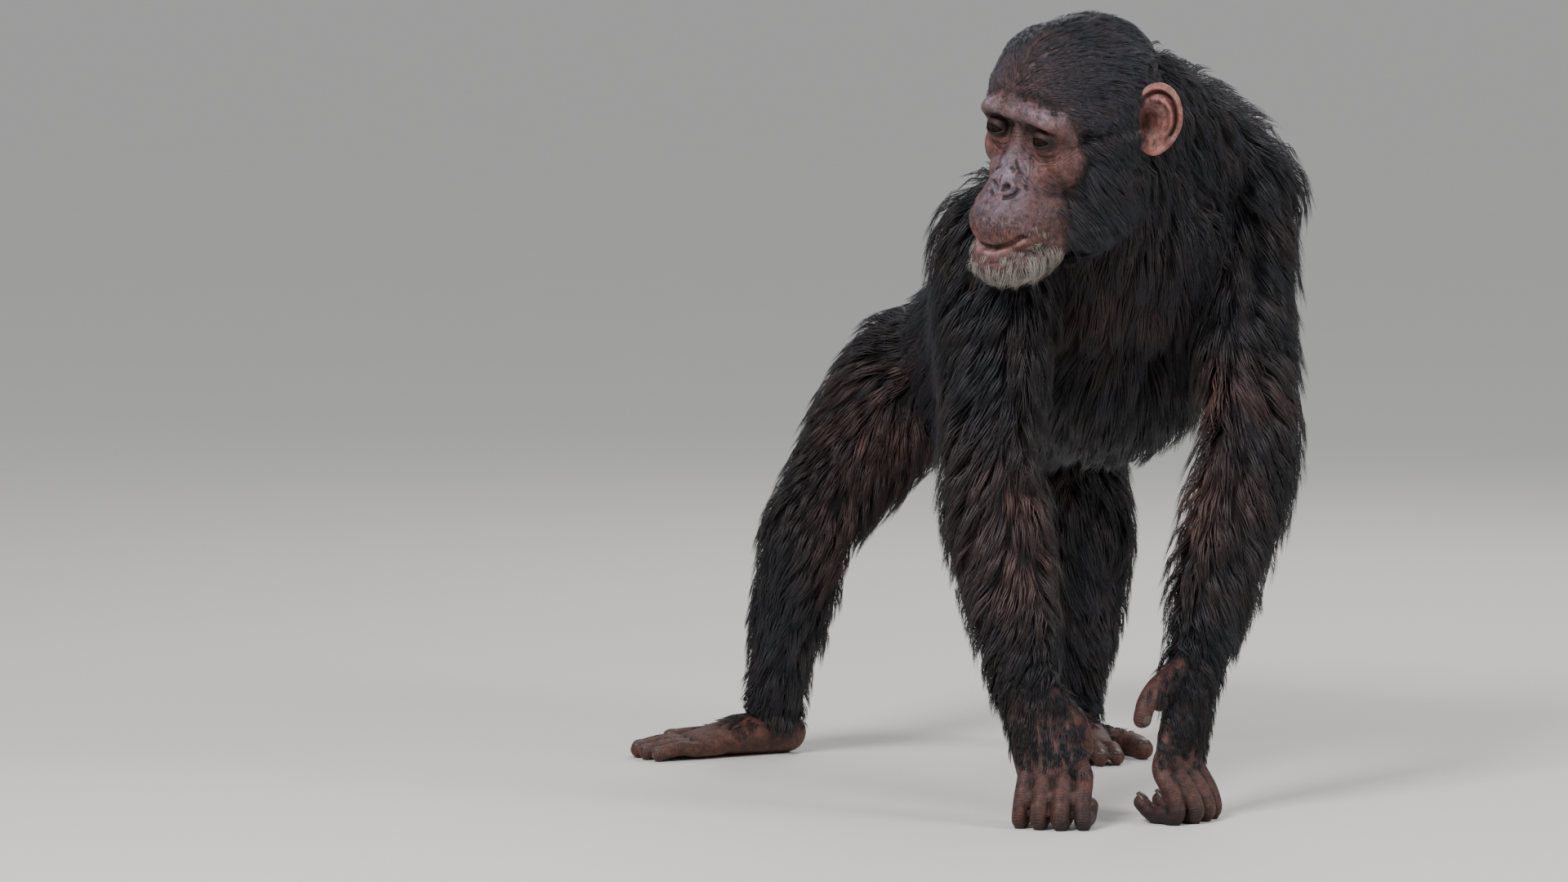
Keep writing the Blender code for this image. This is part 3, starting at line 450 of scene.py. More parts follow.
def head_shapes():
    """Skull, face and jaws."""
    shapes = [
        head_ball((0, 8.8, 1.9), (6.4, 7.8, 7.4)),
        head_ball((0, 3.2, 3.7), (5.3, 4.4, 3.9)),
        head_ball((0, 5.0, 5.0), (5.5, 5.4, 4.2)),
        head_ball((0, 2.8, -1.0), (4.8, 3.2, 3.4)),
        head_ball((0, 2.1, -3.9), (4.3, 4.1, 3.0)),
        head_ball((0, 0.5, -5.6), (3.6, 3.6, 2.6)),
        head_ball((0, 1.4, -7.4), (4.7, 6.1, 3.6), 8),
        head_ball((0, -0.9, -8.1), (3.8, 3.6, 2.1), 10),
        head_ball((0, 0.0, -10.9), (3.7, 4.9, 2.35), 6),
        head_ball((0, 8.0, -4.8), (5.4, 5.6, 5.6)),
        head_loft([(0, 0.35, 0.6, 1.0, 0.8), (0, 0.05, -1.0, 1.0, 0.8),
                   (0, -1.0, -2.9, 1.3, 0.9), (0, -1.8, -3.9, 1.3, 0.8)]),
        head_loft([(-4.7, 2.2, 0.3, 0.6, 0.9), (-4.25, 0.8, 1.45, 0.8, 0.95),
                   (-2.7, -0.40, 2.65, 1.0, 1.0), (0, -0.60, 2.75, 1.05, 0.9),
                   (2.7, -0.40, 2.65, 1.0, 1.0), (4.25, 0.8, 1.45, 0.8, 0.95),
                   (4.7, 2.2, 0.3, 0.6, 0.9)]),
    ]
    for s in (LEFT, RIGHT):
        shapes += [
            head_ball((3.3 * s, 3.5, 2.4), (2.6, 3.6, 2.6)),
            head_ball((2.9 * s, 1.5, -0.1), (2.0, 1.8, 2.0)),
            head_ball((3.9 * s, 2.5, -2.2), (1.9, 2.3, 2.4)),
            head_ball((3.9 * s, 6.4, -3.9), (2.5, 4.6, 4.4)),
            head_loft([(4.0 * s, 2.6, -1.4, 1.3, 1.4), (4.9 * s, 5.4, -1.2, 1.4, 1.6),
                       (5.4 * s, 9.0, -0.9, 1.4, 1.6)]),
            head_loft([(2.3 * s, 1.4, -9.9, 2.0, 2.2), (3.8 * s, 5.4, -7.8, 2.2, 3.0),
                       (4.6 * s, 8.6, -4.8, 2.2, 3.3)]),
            head_ball((1.2 * s, -1.55, -3.95), (1.0, 0.85, 0.8)),
            head_ball((EYE_X * s, EYE_Y, EYE_Z), (1.25, 1.15, 1.15)),
        ]
    return shapes


def press(local, normals, line, radius, depth):
    """Moves the front of the face along its normals near a line drawn in local x and z."""
    line = vec(line)
    flat = local[:, [0, 2]]
    nearest = np.full(len(flat), 1e9)
    for a, b in zip(line[:-1], line[1:]):
        run = b - a
        share = np.clip((flat - a) @ run / (run @ run), 0, 1)
        nearest = np.minimum(nearest, np.linalg.norm(flat - (a + share[:, None] * run), axis=1))
    fade = np.clip(1 - (nearest / radius) ** 2, 0, 1) ** 2 * (local[:, 1] < 3.2)
    return local + normals * (fade * depth)[:, None]


MOUTH = [(0, -9.75), (1.1, -9.65), (2.0, -9.3), (2.75, -8.85), (3.3, -8.35)]
SMILE = [(-x, z) for x, z in MOUTH[:0:-1]] + MOUTH


def lip_height(x):
    """Height of the mouth line in local z."""
    return np.interp(np.abs(x), [place[0] for place in MOUTH], [place[1] for place in MOUTH])


def shape_face(obj):
    """Models sockets, nose, nostrils, lips and the mouth line on the softened head."""
    local = head_local(points_of(obj))
    normals = normals_of(obj) @ HEAD_AXES
    for s in (LEFT, RIGHT):
        for line, radius, depth in [
            ([(0.2, 2.75), (2.7, 2.75), (4.2, 1.65)], 0.75, 0.12),
            ([(0.0, 4.2), (2.5, 4.15), (4.3, 3.1)], 0.95, -0.16),
            ([(1.35, 0.9), (1.45, -0.9)], 0.95, -0.40),
            ([(1.6, 1.65), (4.1, 1.15)], 0.50, -0.15),
            ([(1.9, -1.60), (4.2, -1.40)], 0.60, -0.12),
            ([(1.7, -1.9), (2.5, -4.8)], 0.85, -0.28),
            ([(1.7, -4.7), (0.4, -5.0)], 0.60, -0.25),
            ([(0.45, -4.35), (0.85, -4.15)], 0.45, -0.55),
        ]:
            local = press(local, normals, [(x * s, z) for x, z in line], radius, depth)
    local = press(local, normals, [(x, z + 0.55) for x, z in SMILE], 0.65, 0.15)
    local = press(local, normals, [(x, z - 0.55) for x, z in SMILE], 0.65, 0.18)
    local = press(local, normals, SMILE, 0.34, -0.42)
    set_points(obj, local * CM @ HEAD_AXES.T + vec(EYE_LINE))


def face_lines():
    """Main folds of the face for one side: line in local x and z, radius and depth, in centimetres."""
    lines = [
        ([(1.80, 1.05), (2.9, 1.30), (4.0, 1.00)], 0.18, -0.14),
        ([(1.9, -0.55), (2.9, -0.85), (3.9, -0.50)], 0.15, -0.10),
        ([(0.62, -2.5), (1.40, -3.2), (1.80, -4.1), (1.55, -4.75), (0.7, -5.1)], 0.26, -0.34),
        ([(1.9, -5.3), (2.9, -6.5), (3.9, -7.3)], 0.40, -0.10),
        ([(1.0, -11.0), (2.4, -10.6), (3.6, -9.8)], 0.30, -0.12),
        ([(0.25, 1.9), (0.55, 0.9)], 0.22, -0.10),
        ([(0.0, -4.6), (0.0, -3.3)], 0.16, -0.12),
    ]
    for k in range(3):
        low = 0.42 * k
        lines.append(([(1.55, -1.05 - low), (2.5, -1.50 - low), (3.6, -1.35 - low * 0.8),
                       (4.5, -0.7 - low * 0.5)], 0.15, -0.055 + 0.008 * k))
    for k in range(4):
        low = 0.50 * k
        lines.append(([(0.80 + 0.10 * k, -1.9 - 0.7 * low), (1.35 + 0.10 * k, -2.7 - 0.7 * low),
                       (2.0 + 0.10 * k, -3.4 - 0.7 * low)], 0.15, -0.12))
    return lines


def fold_face(obj):
    """Presses the finer folds of the face, a little different on each side."""
    dice = random.Random(11)
    local = head_local(points_of(obj))
    normals = normals_of(obj) @ HEAD_AXES
    front = (local[:, 1] < 3.4) & (np.abs(local[:, 0]) < 6)
    part, part_normals = local[front], normals[front]
    for s in (LEFT, RIGHT):
        for line, radius, depth in face_lines():
            moved = [((x + dice.uniform(-0.06, 0.06)) * s, z + dice.uniform(-0.06, 0.06)) for x, z in line]
            row = catmull(moved, 3)
            part = press(part, part_normals, row, radius, depth * dice.uniform(0.8, 1.2))
    local[front] = part
    set_points(obj, local * CM @ HEAD_AXES.T + vec(EYE_LINE))


def eye_slit(side):
    """The opening between the lids, a bent almond carried forward from inside the eye."""
    half_wide, half_high, rows, around = 1.00, 0.40, (EYE_Y - 0.05, EYE_Y - 1.75), 32
    points, faces = [], []
    for y in rows:
        for k in range(around):
            turn = 2 * math.pi * k / around
            across = math.cos(turn) * half_wide
            bow = max(0.0, 1 - (across / half_wide) ** 2) ** 0.75
            rise = half_high * bow * (1.0 if math.sin(turn) > 0 else -0.80)
            points.append(head_point(EYE_X * side + across * side, y + 0.12 * across,
                                     EYE_Z + 0.03 + rise + 0.05 * across))
    for k in range(around):
        n = (k + 1) % around
        faces.append((k, n, around + n, around + k))
    faces += [tuple(range(around)), tuple(range(2 * around - 1, around - 1, -1))]
    obj = new_object("slit", points, faces)
    face_outwards(obj)
    return obj


def head_skin(triangles):
    """The head with its lids, nostrils, lips and folds."""
    head = fused("head", head_shapes(), 0.0013, 34)
    shape_face(head)
    for side in (LEFT, RIGHT):
        centre = head_point(EYE_X * side, EYE_Y, EYE_Z)
        lids = new_object("lids", *ball(centre, [EYE_RADIUS + 0.0018] * 3, HEAD_AXES))
        face_outwards(lids)
        boolean(head, "UNION", [lids])
        socket = new_object("socket", *ball(centre, [EYE_RADIUS + 0.0002] * 3, HEAD_AXES))
        face_outwards(socket)
        boolean(head, "DIFFERENCE", [socket])
        boolean(head, "DIFFERENCE", [eye_slit(side)])
    in_voxels(head, 0.0009, 3)
    fold_face(head)
    local = head_local(points_of(head))
    x, y, z = np.abs(local[:, 0]), local[:, 1], local[:, 2]
    face = 0.70 * smooth(4.0, 3.0, y) * smooth(6.5, 5.5, x)
    lids = smooth(2.2, 1.6, np.hypot(x - EYE_X, (z - EYE_Z) * 1.5)) * smooth(3.0, 2.0, y)
    lips = smooth(0.7, 0.3, np.abs(z - lip_height(x))) * smooth(5.0, 4.3, x) * smooth(2.0, 1.0, y)
    nostrils = smooth(1.3, 0.8, np.hypot(x - 0.7, z + 4.2)) * smooth(1.0, 0.0, y)
    by_ears = 0.60 * smooth(4.6, 3.8, np.linalg.norm(np.stack([x, y, z], 1) - vec(EAR_MIDDLE), axis=1))
    keep = np.maximum.reduce([face, lids, 0.95 * lips, 0.95 * nostrils, by_ears])
    return thinned(head, triangles, np.clip(keep, 0, 1))


def finger(places, radius, tip_radius):
    """A bent digit through its joints, narrower towards its tip."""
    last = len(places) - 1
    return loft(
        [(*p, radius + (tip_radius - radius) * i / last, radius + (tip_radius - radius) * i / last)
         for i, p in enumerate(places)],
        (0.31, 0.22, 0.9), around=18, per_span=7)


FINGER = {"index": 0.0092, "middle": 0.0098, "ring": 0.0095, "little": 0.0084}
MIDDLE_PHALANX, LAST_PHALANX = 0.027, 0.018

HANDS = {
    # knuckle row's middle, its run from index to little, the way the back of the hand faces
    LEFT: dict(row=(0.182, -0.308, 0.050), run=(0.66, 0.75, 0.0), back=(0.78, -0.62, 0.0)),
    RIGHT: dict(row=(0.066, -0.352, 0.050), run=(-0.97, 0.22, 0.0), back=(-0.22, -0.97, 0.0)),
}
THUMBS = {
    LEFT: [(0.184, -0.292, 0.138), (0.162, -0.317, 0.124), (0.151, -0.330, 0.110), (0.147, -0.334, 0.097)],
    RIGHT: [(0.058, -0.318, 0.120), (0.083, -0.330, 0.100), (0.092, -0.330, 0.082), (0.094, -0.327, 0.068)],
}


def finger_bones(side):
    """Each finger's joints from the wrist to the tip, with its radius."""
    hand = HANDS[side]
    row, run, back = vec(hand["row"]), unit(hand["run"]), unit(hand["back"])
    wrist = vec(WRIST[side])
    bones = []
    steps = zip(FINGER.values(), (-0.027, -0.009, 0.009, 0.026), (0.0, 0.006, 0.004, -0.002))
    for radius, step, reach in steps:
        base = row + run * step + back * 0.001
        spread = run * step * 0.12
        knuckle = vec((*(base + spread + back * (0.020 + reach))[:2], radius))
        bend = knuckle - back * MIDDLE_PHALANX
        bend[2] = radius * 0.97
        tip = bend - back * LAST_PHALANX * 0.7
        tip[2] = radius + LAST_PHALANX * 0.5
        bones.append(([along(wrist, base, 0.8), base, along(base, knuckle, 0.55) + back * 0.004,
                       knuckle, along(knuckle, bend, 0.5), bend, tip], radius))
    return bones


def hand_shapes(side):
    """A hand on its knuckles: palm, four curled fingers and a thumb."""
    hand = HANDS[side]
    row, back = vec(hand["row"]), unit(hand["back"])
    wrist = vec(WRIST[side])
    shapes = [loft([
        (*along(wrist, row, -0.15), 0.020, 0.018),
        (*along(wrist, row, 0.25), 0.026, 0.018),
        (*along(wrist, row, 0.70), 0.033, 0.016),
        (*along(wrist, row, 1.00), 0.035, 0.013),
    ], back, around=28)]
    bones = finger_bones(side)
    shapes += [finger(places, radius, radius * 0.82) for places, radius in bones]
    # Webs of skin between the roots of the fingers.
    for (places, _), (beside, _) in zip(bones, bones[1:]):
        for joint, size in ((1, 0.0105), (2, 0.0085)):
            shapes.append(ball(along(places[joint], beside[joint], 0.5) - back * 0.003, (size, size, size)))
    shapes.append(finger(THUMBS[side], 0.0115, 0.0085))
    # The web between the thumb and the palm.
    for joint, size in ((1, 0.0105), (2, 0.0080)):
        thumb = vec(THUMBS[side][joint])
        palm = along(wrist, row, (wrist[2] - thumb[2]) / (wrist[2] - row[2]))
        for share in (0.30, 0.55):
            shapes.append(ball(along(thumb, palm, share), (size, size, size)))
    return shapes


FEET = {
    # back of the heel, the way the toes point
    LEFT: dict(heel=(0.106, 0.252), toes=(0.10, -1.0)),
    RIGHT: dict(heel=(-0.160, 0.196), toes=(-0.95, -0.31)),
}
TOES = [
    # across the foot from the big toe's side, length of the toe, radius
    (-0.020, 0.046, 0.0090), (-0.005, 0.052, 0.0094), (0.011, 0.049, 0.0090), (0.026, 0.042, 0.0084),
]


def foot_place(side, forward, outward, height):
    foot = FEET[side]
    ahead = unit((*foot["toes"], 0))
    across = np.cross(ahead, (0, 0, 1)) * side
    return vec((*foot["heel"], 0.0)) + ahead * forward + across * outward + vec((0, 0, height))


def toe_bones(side):
    """Each toe's joints to its tip with its radii, the big toe last."""
    bones = []
    for outward, length, radius in TOES:
        bones.append(([
            foot_place(side, 0.096, outward * 0.8, radius + 0.003),
            foot_place(side, 0.122, outward, radius + 0.002),
            foot_place(side, 0.122 + length * 0.45, outward * 1.12, radius + 0.004),
            foot_place(side, 0.122 + length, outward * 1.16, radius * 0.9)], radius, radius * 0.85))
    bones.append(([
        foot_place(side, 0.050, -0.014, 0.015), foot_place(side, 0.078, -0.036, 0.013),
        foot_place(side, 0.100, -0.051, 0.012), foot_place(side, 0.124, -0.056, 0.0105)], 0.0135, 0.0105))
    return bones


def foot_shapes(side):
    """A flat foot: heel, sole, four toes and a big toe set apart like a thumb."""
    ahead = unit((*FEET[side]["toes"], 0))
    ankle = vec(ANKLE[side])
    shapes = [
        loft([(*foot_place(side, 0.020, 0, 0.021), 0.019, 0.020),
              (*foot_place(side, 0.050, 0.001, 0.022), 0.023, 0.021),
              (*foot_place(side, 0.085, 0.002, 0.018), 0.029, 0.017),
              (*foot_place(side, 0.116, 0.003, 0.014), 0.031, 0.012)], (0, 0, 1), around=28),
        loft([(*along(KNEE[side], ankle, 0.86), 0.021, 0.022), (*ankle, 0.022, 0.024),
              (*foot_place(side, 0.034, 0, 0.030), 0.022, 0.025)], ahead, around=22),
    ]
    return shapes + [finger(*toe) for toe in toe_bones(side)]


def flat_underneath(obj):
    """Presses what lies near or under the floor onto one level, as a small flat."""
    points = points_of(obj)
    points[points[:, 2] < 0.0016, 2] = 0.0
    set_points(obj, points)
    return obj


EAR_HALF_HIGH, EAR_HALF_WIDE, EAR_THICK = 0.0345, 0.0245, 0.0034
EAR_MIDDLE = (7.4, 10.4, 0.9)


def ear_relief(share, turn):
    """Height of the ear's face: rolled rim, inner fold, and the hollow over the ear canal."""
    back, up = math.cos(turn) * share, math.sin(turn) * share
    rim = 0.0060 * math.exp(-(((share - 0.90) / 0.10) ** 2)) * (0.60 + 0.40 * math.sin(turn + 0.5))
    gutter = -0.0050 * math.exp(-(((share - 0.76) / 0.06) ** 2)) * max(0.0, math.cos(turn - 0.9)) ** 0.5
    fold = 0.0064 * math.exp(-(((share - 0.58) / 0.10) ** 2)) * max(0.0, math.cos(turn - 0.5)) ** 0.5
    arm = 0.0016 * math.exp(-(((back - 0.05 - 0.35 * up) / 0.10) ** 2 + ((up - 0.5) / 0.22) ** 2))
    hollow = -0.0120 * math.exp(-((back + 0.22) ** 2 + (up + 0.12) ** 2) / 0.14)
    tragus = 0.0035 * math.exp(-((back + 0.78) ** 2 + (up + 0.16) ** 2) / 0.03)
    notch = 0.0022 * math.exp(-((back + 0.15) ** 2 + (up + 0.62) ** 2) / 0.02)
    return rim + gutter + fold + arm + hollow + tragus + notch


def ear_form(side, rings=30, turns=84):
    """An upright, rounded ear. Its face looks out and forward; its root meets the skull."""
    toward_face = unit((0.62 * side, -0.78, 0.0))
    outward = unit((0.78 * side, 0.62, 0.0))
    up = vec((0.0, 0.10, 1.0))
    middle = vec(EAR_MIDDLE) * vec((side, 1, 1)) * CM
    points, faces = [], []

    def lay(share, turn, lift):
        lobe = 1.0 - 0.22 * max(0.0, -math.sin(turn)) ** 2
        across = math.cos(turn) * EAR_HALF_WIDE * share * lobe
        place = outward * across + up * (math.sin(turn) * EAR_HALF_HIGH * share) + toward_face * lift
        points.append(vec(EYE_LINE) + HEAD_AXES @ (middle + place))

    bands = [(i / rings, 0.0) for i in range(1, rings + 1)]
    bands += [(1.005, 0.35), (0.99, 0.8)] + [(s, 1.0) for s in (0.95, 0.85, 0.72, 0.55, 0.36, 0.18)]
    for share, under in bands:
        for k in range(turns):
            turn = 2 * math.pi * k / turns
            front = ear_relief(min(share, 1.0), turn)
            behind = min(0.0, front) - EAR_THICK - 0.003 * (1 - share)
            lay(share, turn, front + (behind - front) * under)
    lay(0, 0, ear_relief(0, 0))
    lay(0, 0, ear_relief(0, 0) - EAR_THICK - 0.003)
    count = len(bands)
    for r in range(count - 1):
        for k in range(turns):
            n = (k + 1) % turns
            faces.append((r * turns + k, r * turns + n, (r + 1) * turns + n, (r + 1) * turns + k))
    for k in range(turns):
        n = (k + 1) % turns
        faces.append((count * turns, n, k))
        faces.append((count * turns + 1, (count - 1) * turns + k, (count - 1) * turns + n))
    obj = new_object("ear", points, faces)
    face_outwards(obj)
    return obj


# Where the coat grows, how long and deep it is, and which way it lies.


def coat_rows():
    """Rows of the coat: piece, from, to, reach, lie, and length and depth at both ends."""
    rows = []
    for side in (LEFT, RIGHT):
        name = SIDE_NAMES[side]
        out = vec((0.35 * side, 0, 0))
        down_arm = unit(vec(ELBOW[side]) - vec(SHOULDER[side]))
        down_forearm = unit(vec(WRIST[side]) - vec(ELBOW[side]))
        down_thigh = unit(vec(KNEE[side]) - vec(HIP[side]))
        rows += [
            ("upper_arm_" + name, SHOULDER[side], ELBOW[side], 0.045,
             down_arm + vec((0, 0.35, 0)) + out, (0.070, 0.068), (0.026, 0.024)),
            ("forearm_" + name, ELBOW[side], along(ELBOW[side], WRIST[side], 0.6), 0.035,
             vec((0, 0.50, 0)) + 1.5 * out + down_forearm, (0.064, 0.054), (0.023, 0.021)),
            ("forearm_" + name, along(ELBOW[side], WRIST[side], 0.6), WRIST[side], 0.035,
             vec((0, 0.45, 0)) + 1.6 * out + down_forearm, (0.054, 0.040), (0.021, 0.013)),
            ("thigh_" + name, HIP[side], KNEE[side], 0.060,
             down_thigh + vec((0, 0.5, -0.3)), (0.055, 0.050), (0.016, 0.015)),
            ("shank_" + name, KNEE[side], ANKLE[side], 0.035,
             vec((0.25 * side, 0.40, -0.8)), (0.050, 0.038), (0.018, 0.012)),
        ]
    pieces = ["shoulders", "shoulders", "back", "back", "rump", "rump"]
    for piece, a, b in zip(pieces, TRUNK[:-1], TRUNK[1:]):
        back = unit(vec(b[:3]) - vec(a[:3]))
        rows.append((piece, a[:3], b[:3], 0.105, back + vec((0, 0, -0.55)),
                     (0.066, 0.062), (a[5], b[5])))
    crest = head_point(0, 8.8, -3.3)
    rows.append(("neck", crest, TRUNK[0][:3], 0.070, vec((0.1, 0.45, -0.9)), (0.055, 0.062), (0.016, 0.024)))
    return rows


def coat_of_body(points):
    """For each point: its piece's number, the lie, length and depth of its coat."""
    rows = coat_rows()
    away, lies, lengths, depths = [], [], [], []
    for _, a, b, reach, lie, length, depth in rows:
        run = vec(b) - vec(a)
        share = np.clip((points - vec(a)) @ run / (run @ run), 0, 1)
        away.append(np.linalg.norm(points - vec(a) - share[:, None] * run, axis=1) / reach)
        lies.append(unit(lie))
        lengths.append(length[0] + (length[1] - length[0]) * share)
        depths.append(depth[0] + (depth[1] - depth[0]) * share)
    away, lengths, depths = np.array(away), np.array(lengths), np.array(depths)
    weights = np.exp(-7 * (away - away.min(0)))
    weights /= weights.sum(0)
    lie = unit(weights.T @ np.array(lies))
    return away.argmin(0), lie, (weights * lengths).sum(0), (weights * depths).sum(0)


def hairline(local):
    """How haired the head is, from 0 on the bare face to 1 behind the hairline."""
    x, y, z = np.abs(local[:, 0]), local[:, 1], local[:, 2]
    edge = np.interp(z, [-13, -11.5, -9.5, -7.5, -5, -2.5, 0, 1.5, 2.8, 3.6, 4.4, 5.3],
                     [1.0, 1.4, 1.5, 1.6, 1.9, 2.4, 2.7, 2.3, 1.3, 0.1, -1.3, -2.6])
    ragged = 0.35 * np.sin(3.1 * x + 1.7 * z) * np.cos(2.3 * z - 1.1 * x)
    beside = smooth(-1.3, 1.3, y - edge + ragged)
    below = smooth(-12.4, -13.0, z) * smooth(0.0, 2.0, y)
    return np.clip(beside + below, 0, 1)


def coat_of_head(points):
    """For each point: how haired, and the lie, length and depth of its hair."""
    local = head_local(points)
    x, y, z = local[:, 0], local[:, 1], local[:, 2]
    side = np.sign(x)
    haired = hairline(local)
    cheek = smooth(1.5, -3.0, z) * smooth(11.0, 8.0, y)
    nape = smooth(8.5, 12.0, y) * smooth(3.5, -1.5, z)
    crown = np.clip(1 - cheek - nape, 0, 1)
    front = smooth(4.8, 0.8, y) * smooth(2.0, 4.0, z)
    lies = (crown[:, None] * np.stack([0.25 * side, 0 * x + 1.0, -0.10 - 0.45 * smooth(5, 0, z)], 1)
            + cheek[:, None] * np.stack([0.30 * side, 0 * x + 0.55, 0 * x - 0.75], 1)
            + nape[:, None] * np.stack([0.10 * side, 0 * x + 0.45, 0 * x - 0.90], 1))
    by_ear = near(np.stack([np.abs(x), y, z], 1), (6.5, 8.8, 0.9), (3.0, 3.4, 3.6))
    lies = lies - by_ear[:, None] * vec((0, 0.5, 1.5))
    behind_ear = smooth(8.8, 9.4, y) * smooth(12.2, 11.6, y) * smooth(3.6, 3.0, np.abs(z - 0.9))
    haired = haired * (1 - behind_ear * smooth(5.2, 5.8, np.abs(x)))
    length = (0.026 * crown + 0.050 * cheek + 0.050 * nape) * (1 - 0.40 * by_ear)
    depth = (0.0055 * crown + 0.013 * cheek + 0.014 * nape) * (1 - 0.45 * by_ear)
    near_face = 0.50 + 0.50 * smooth(0.2, 1.0, haired)
    length = length * (1 - 0.45 * front) * near_face
    return haired ** 1.6 * (1 + 0.5 * front), unit(lies) @ HEAD_AXES.T, length, depth * near_face * (1 - 0.5 * front)


def beard_of_head(points):
    """For each point: how bearded, and the lie, length and depth of the white beard."""
    local = head_local(points)
    x, y, z = local[:, 0], local[:, 1], local[:, 2]
    below = lip_height(x) - z
    chin = (0.45 + 0.55 * smooth(0.8, 1.5, below)) * smooth(0.50, 0.85, below) * smooth(-13.9, -13.0, z)
    corner = 0.5 * near(np.stack([np.abs(x), 0 * x, z], 1), (4.1, 0, -8.4), (0.5, 1, 0.9))
    haired = np.maximum(chin, corner) * smooth(5.0, 4.2, np.abs(x)) * smooth(2.4, 1.4, y)
    lie = np.stack([0.16 * x, -0.25 + 0 * x, -0.90 + 0 * x], 1)
    length = 0.009 + 0.018 * smooth(0.6, 2.8, below)
    return haired, unit(lie) @ HEAD_AXES.T, length, 0.005 + 0.006 * smooth(0.6, 2.6, below)


def stubble_of_head(points):
    """For each point: how many short hairs, and their lie, length and depth on the bare face."""
    local = head_local(points)
    x, y, z = local[:, 0], local[:, 1], local[:, 2]
    side = np.sign(x)
    haired = hairline(local)
    above_lip = z - lip_height(x)
    flat = np.stack([np.abs(x), 0 * x, z], 1)
    brow = near(flat, (2.5, 0, 3.6), (3.2, 1, 1.0))
    muzzle = smooth(0.25, 0.6, above_lip) * smooth(4.2, 2.4, above_lip)
    cheek = smooth(0.02, 0.5, haired)
    eyes = smooth(1.2, 1.7, np.hypot(np.abs(x) - EYE_X, z - EYE_Z))
    grown = np.clip(0.5 * brow + 0.55 * muzzle + 0.9 * cheek, 0, 1) * smooth(5.0, 4.0, y)
    grown = grown * smooth(0.95, 0.6, haired) * eyes * smooth(-0.3, 0.2, above_lip)
    lie = np.stack([0.5 * side, 0.2 + 0.5 * brow, -0.6 + 1.2 * brow], 1)
    return grown, unit(lie) @ HEAD_AXES.T, 0.0045 + 0.006 * cheek + 0.003 * brow, 0.0022 + 0 * x


def whiskers_of_head(points):
    """For each point: the sparse white hairs along the upper lip."""
    local = head_local(points)
    x, y, z = local[:, 0], local[:, 1], local[:, 2]
    above_lip = z - lip_height(x)
    haired = smooth(0.15, 0.35, above_lip) * smooth(0.9, 0.4, above_lip) * smooth(4.8, 4.0, np.abs(x))
    haired = haired * smooth(2.9, 3.7, np.abs(x))
    lie = np.stack([0.14 * x, -0.45 + 0 * x, -0.8 + 0 * x], 1)
    return haired * smooth(1.5, 0.5, y), unit(lie) @ HEAD_AXES.T, 0.0050 + 0 * x, 0.0030 + 0 * x


def coat_of_hand(points, normals, side):
    """For each point: the short coat on the back of a hand."""
    back = unit(HANDS[side]["back"])
    down = unit(vec(HANDS[side]["row"]) - vec(WRIST[side]))
    level = points[:, 2]
    haired = smooth(-0.25, 0.35, normals @ back) * smooth(0.046, 0.078, level)
    wrist = smooth(0.09, 0.12, level)
    haired = np.maximum(haired, wrist * smooth(0.035, 0.028, np.linalg.norm(
        points - along(WRIST[side], HANDS[side]["row"], 0.1), axis=1)))
    knuckle, tip = THUMBS[side][1], THUMBS[side][-1]
    beyond = np.clip(share_along(points, knuckle, tip), 0, 1)[:, None]
    thumb = np.linalg.norm(points - (vec(knuckle) + beyond * (vec(tip) - vec(knuckle))), axis=1)
    haired = haired * np.maximum(smooth(0.013, 0.020, thumb), 0.5 * smooth(0.45, 0.10, beyond[:, 0]))
    lie = np.tile(unit(down + 0.35 * unit(HANDS[side]["run"])), (len(points), 1))
    share = smooth(0.05, 0.13, level)
    return haired, lie, 0.013 + 0.017 * share, 0.0030 + 0.0045 * share


def coat_of_foot(points, normals, side):
    """For each point: the short coat on the ankle and the upper side of a foot."""
    ahead = unit((*FEET[side]["toes"], 0))
    forward = (points - foot_place(side, 0, 0, 0)) @ ahead
    haired = smooth(0.25, 0.75, normals[:, 2]) * smooth(0.105, 0.055, forward)
    haired = np.maximum(haired, smooth(0.036, 0.052, points[:, 2]))
    lie = unit(np.tile(0.7 * ahead + vec((0, 0, -0.7)), (len(points), 1)))
    share = smooth(0.02, 0.07, points[:, 2])
    return haired, lie, 0.012 + 0.014 * share, 0.0025 + 0.0035 * share


# Colours of skin and coat, given as tints of each point.


def share_along(points, a, b):
    run = vec(b) - vec(a)
    return (points - vec(a)) @ run / (run @ run)


def brown_patches(points):
    """Where the coat is thin and brownish, as on the inner thighs and the front of the arms."""
    patches = [
        ((-0.085, 0.120, 0.350), (0.050, 0.060, 0.070)),
        ((-0.120, 0.080, 0.250), (0.035, 0.040, 0.050)),
        (along(HIP[LEFT], KNEE[LEFT], 0.5) + vec((-0.04, -0.03, 0.0)), (0.05, 0.05, 0.06)),
        (vec(ELBOW[RIGHT]) + vec((0.020, -0.040, 0.010)), (0.028, 0.03, 0.060)),
        (along(ELBOW[RIGHT], WRIST[RIGHT], 0.30) + vec((0.014, -0.035, 0)), (0.026, 0.03, 0.060)),
        (along(ELBOW[LEFT], WRIST[LEFT], 0.25) + vec((-0.025, -0.020, 0.01)), (0.022, 0.03, 0.07)),
        (along(SHOULDER[LEFT], ELBOW[LEFT], 0.75) + vec((-0.03, -0.03, 0)), (0.03, 0.03, 0.05)),
        ((0.120, -0.190, 0.500), (0.05, 0.05, 0.05)),
        (head_point(0, 1.5, 5.0), (0.050, 0.030, 0.022)),
    ]
    total = np.zeros(len(points))
    for place, radii in patches:
        total = np.maximum(total, near(points, place, radii))
    return total


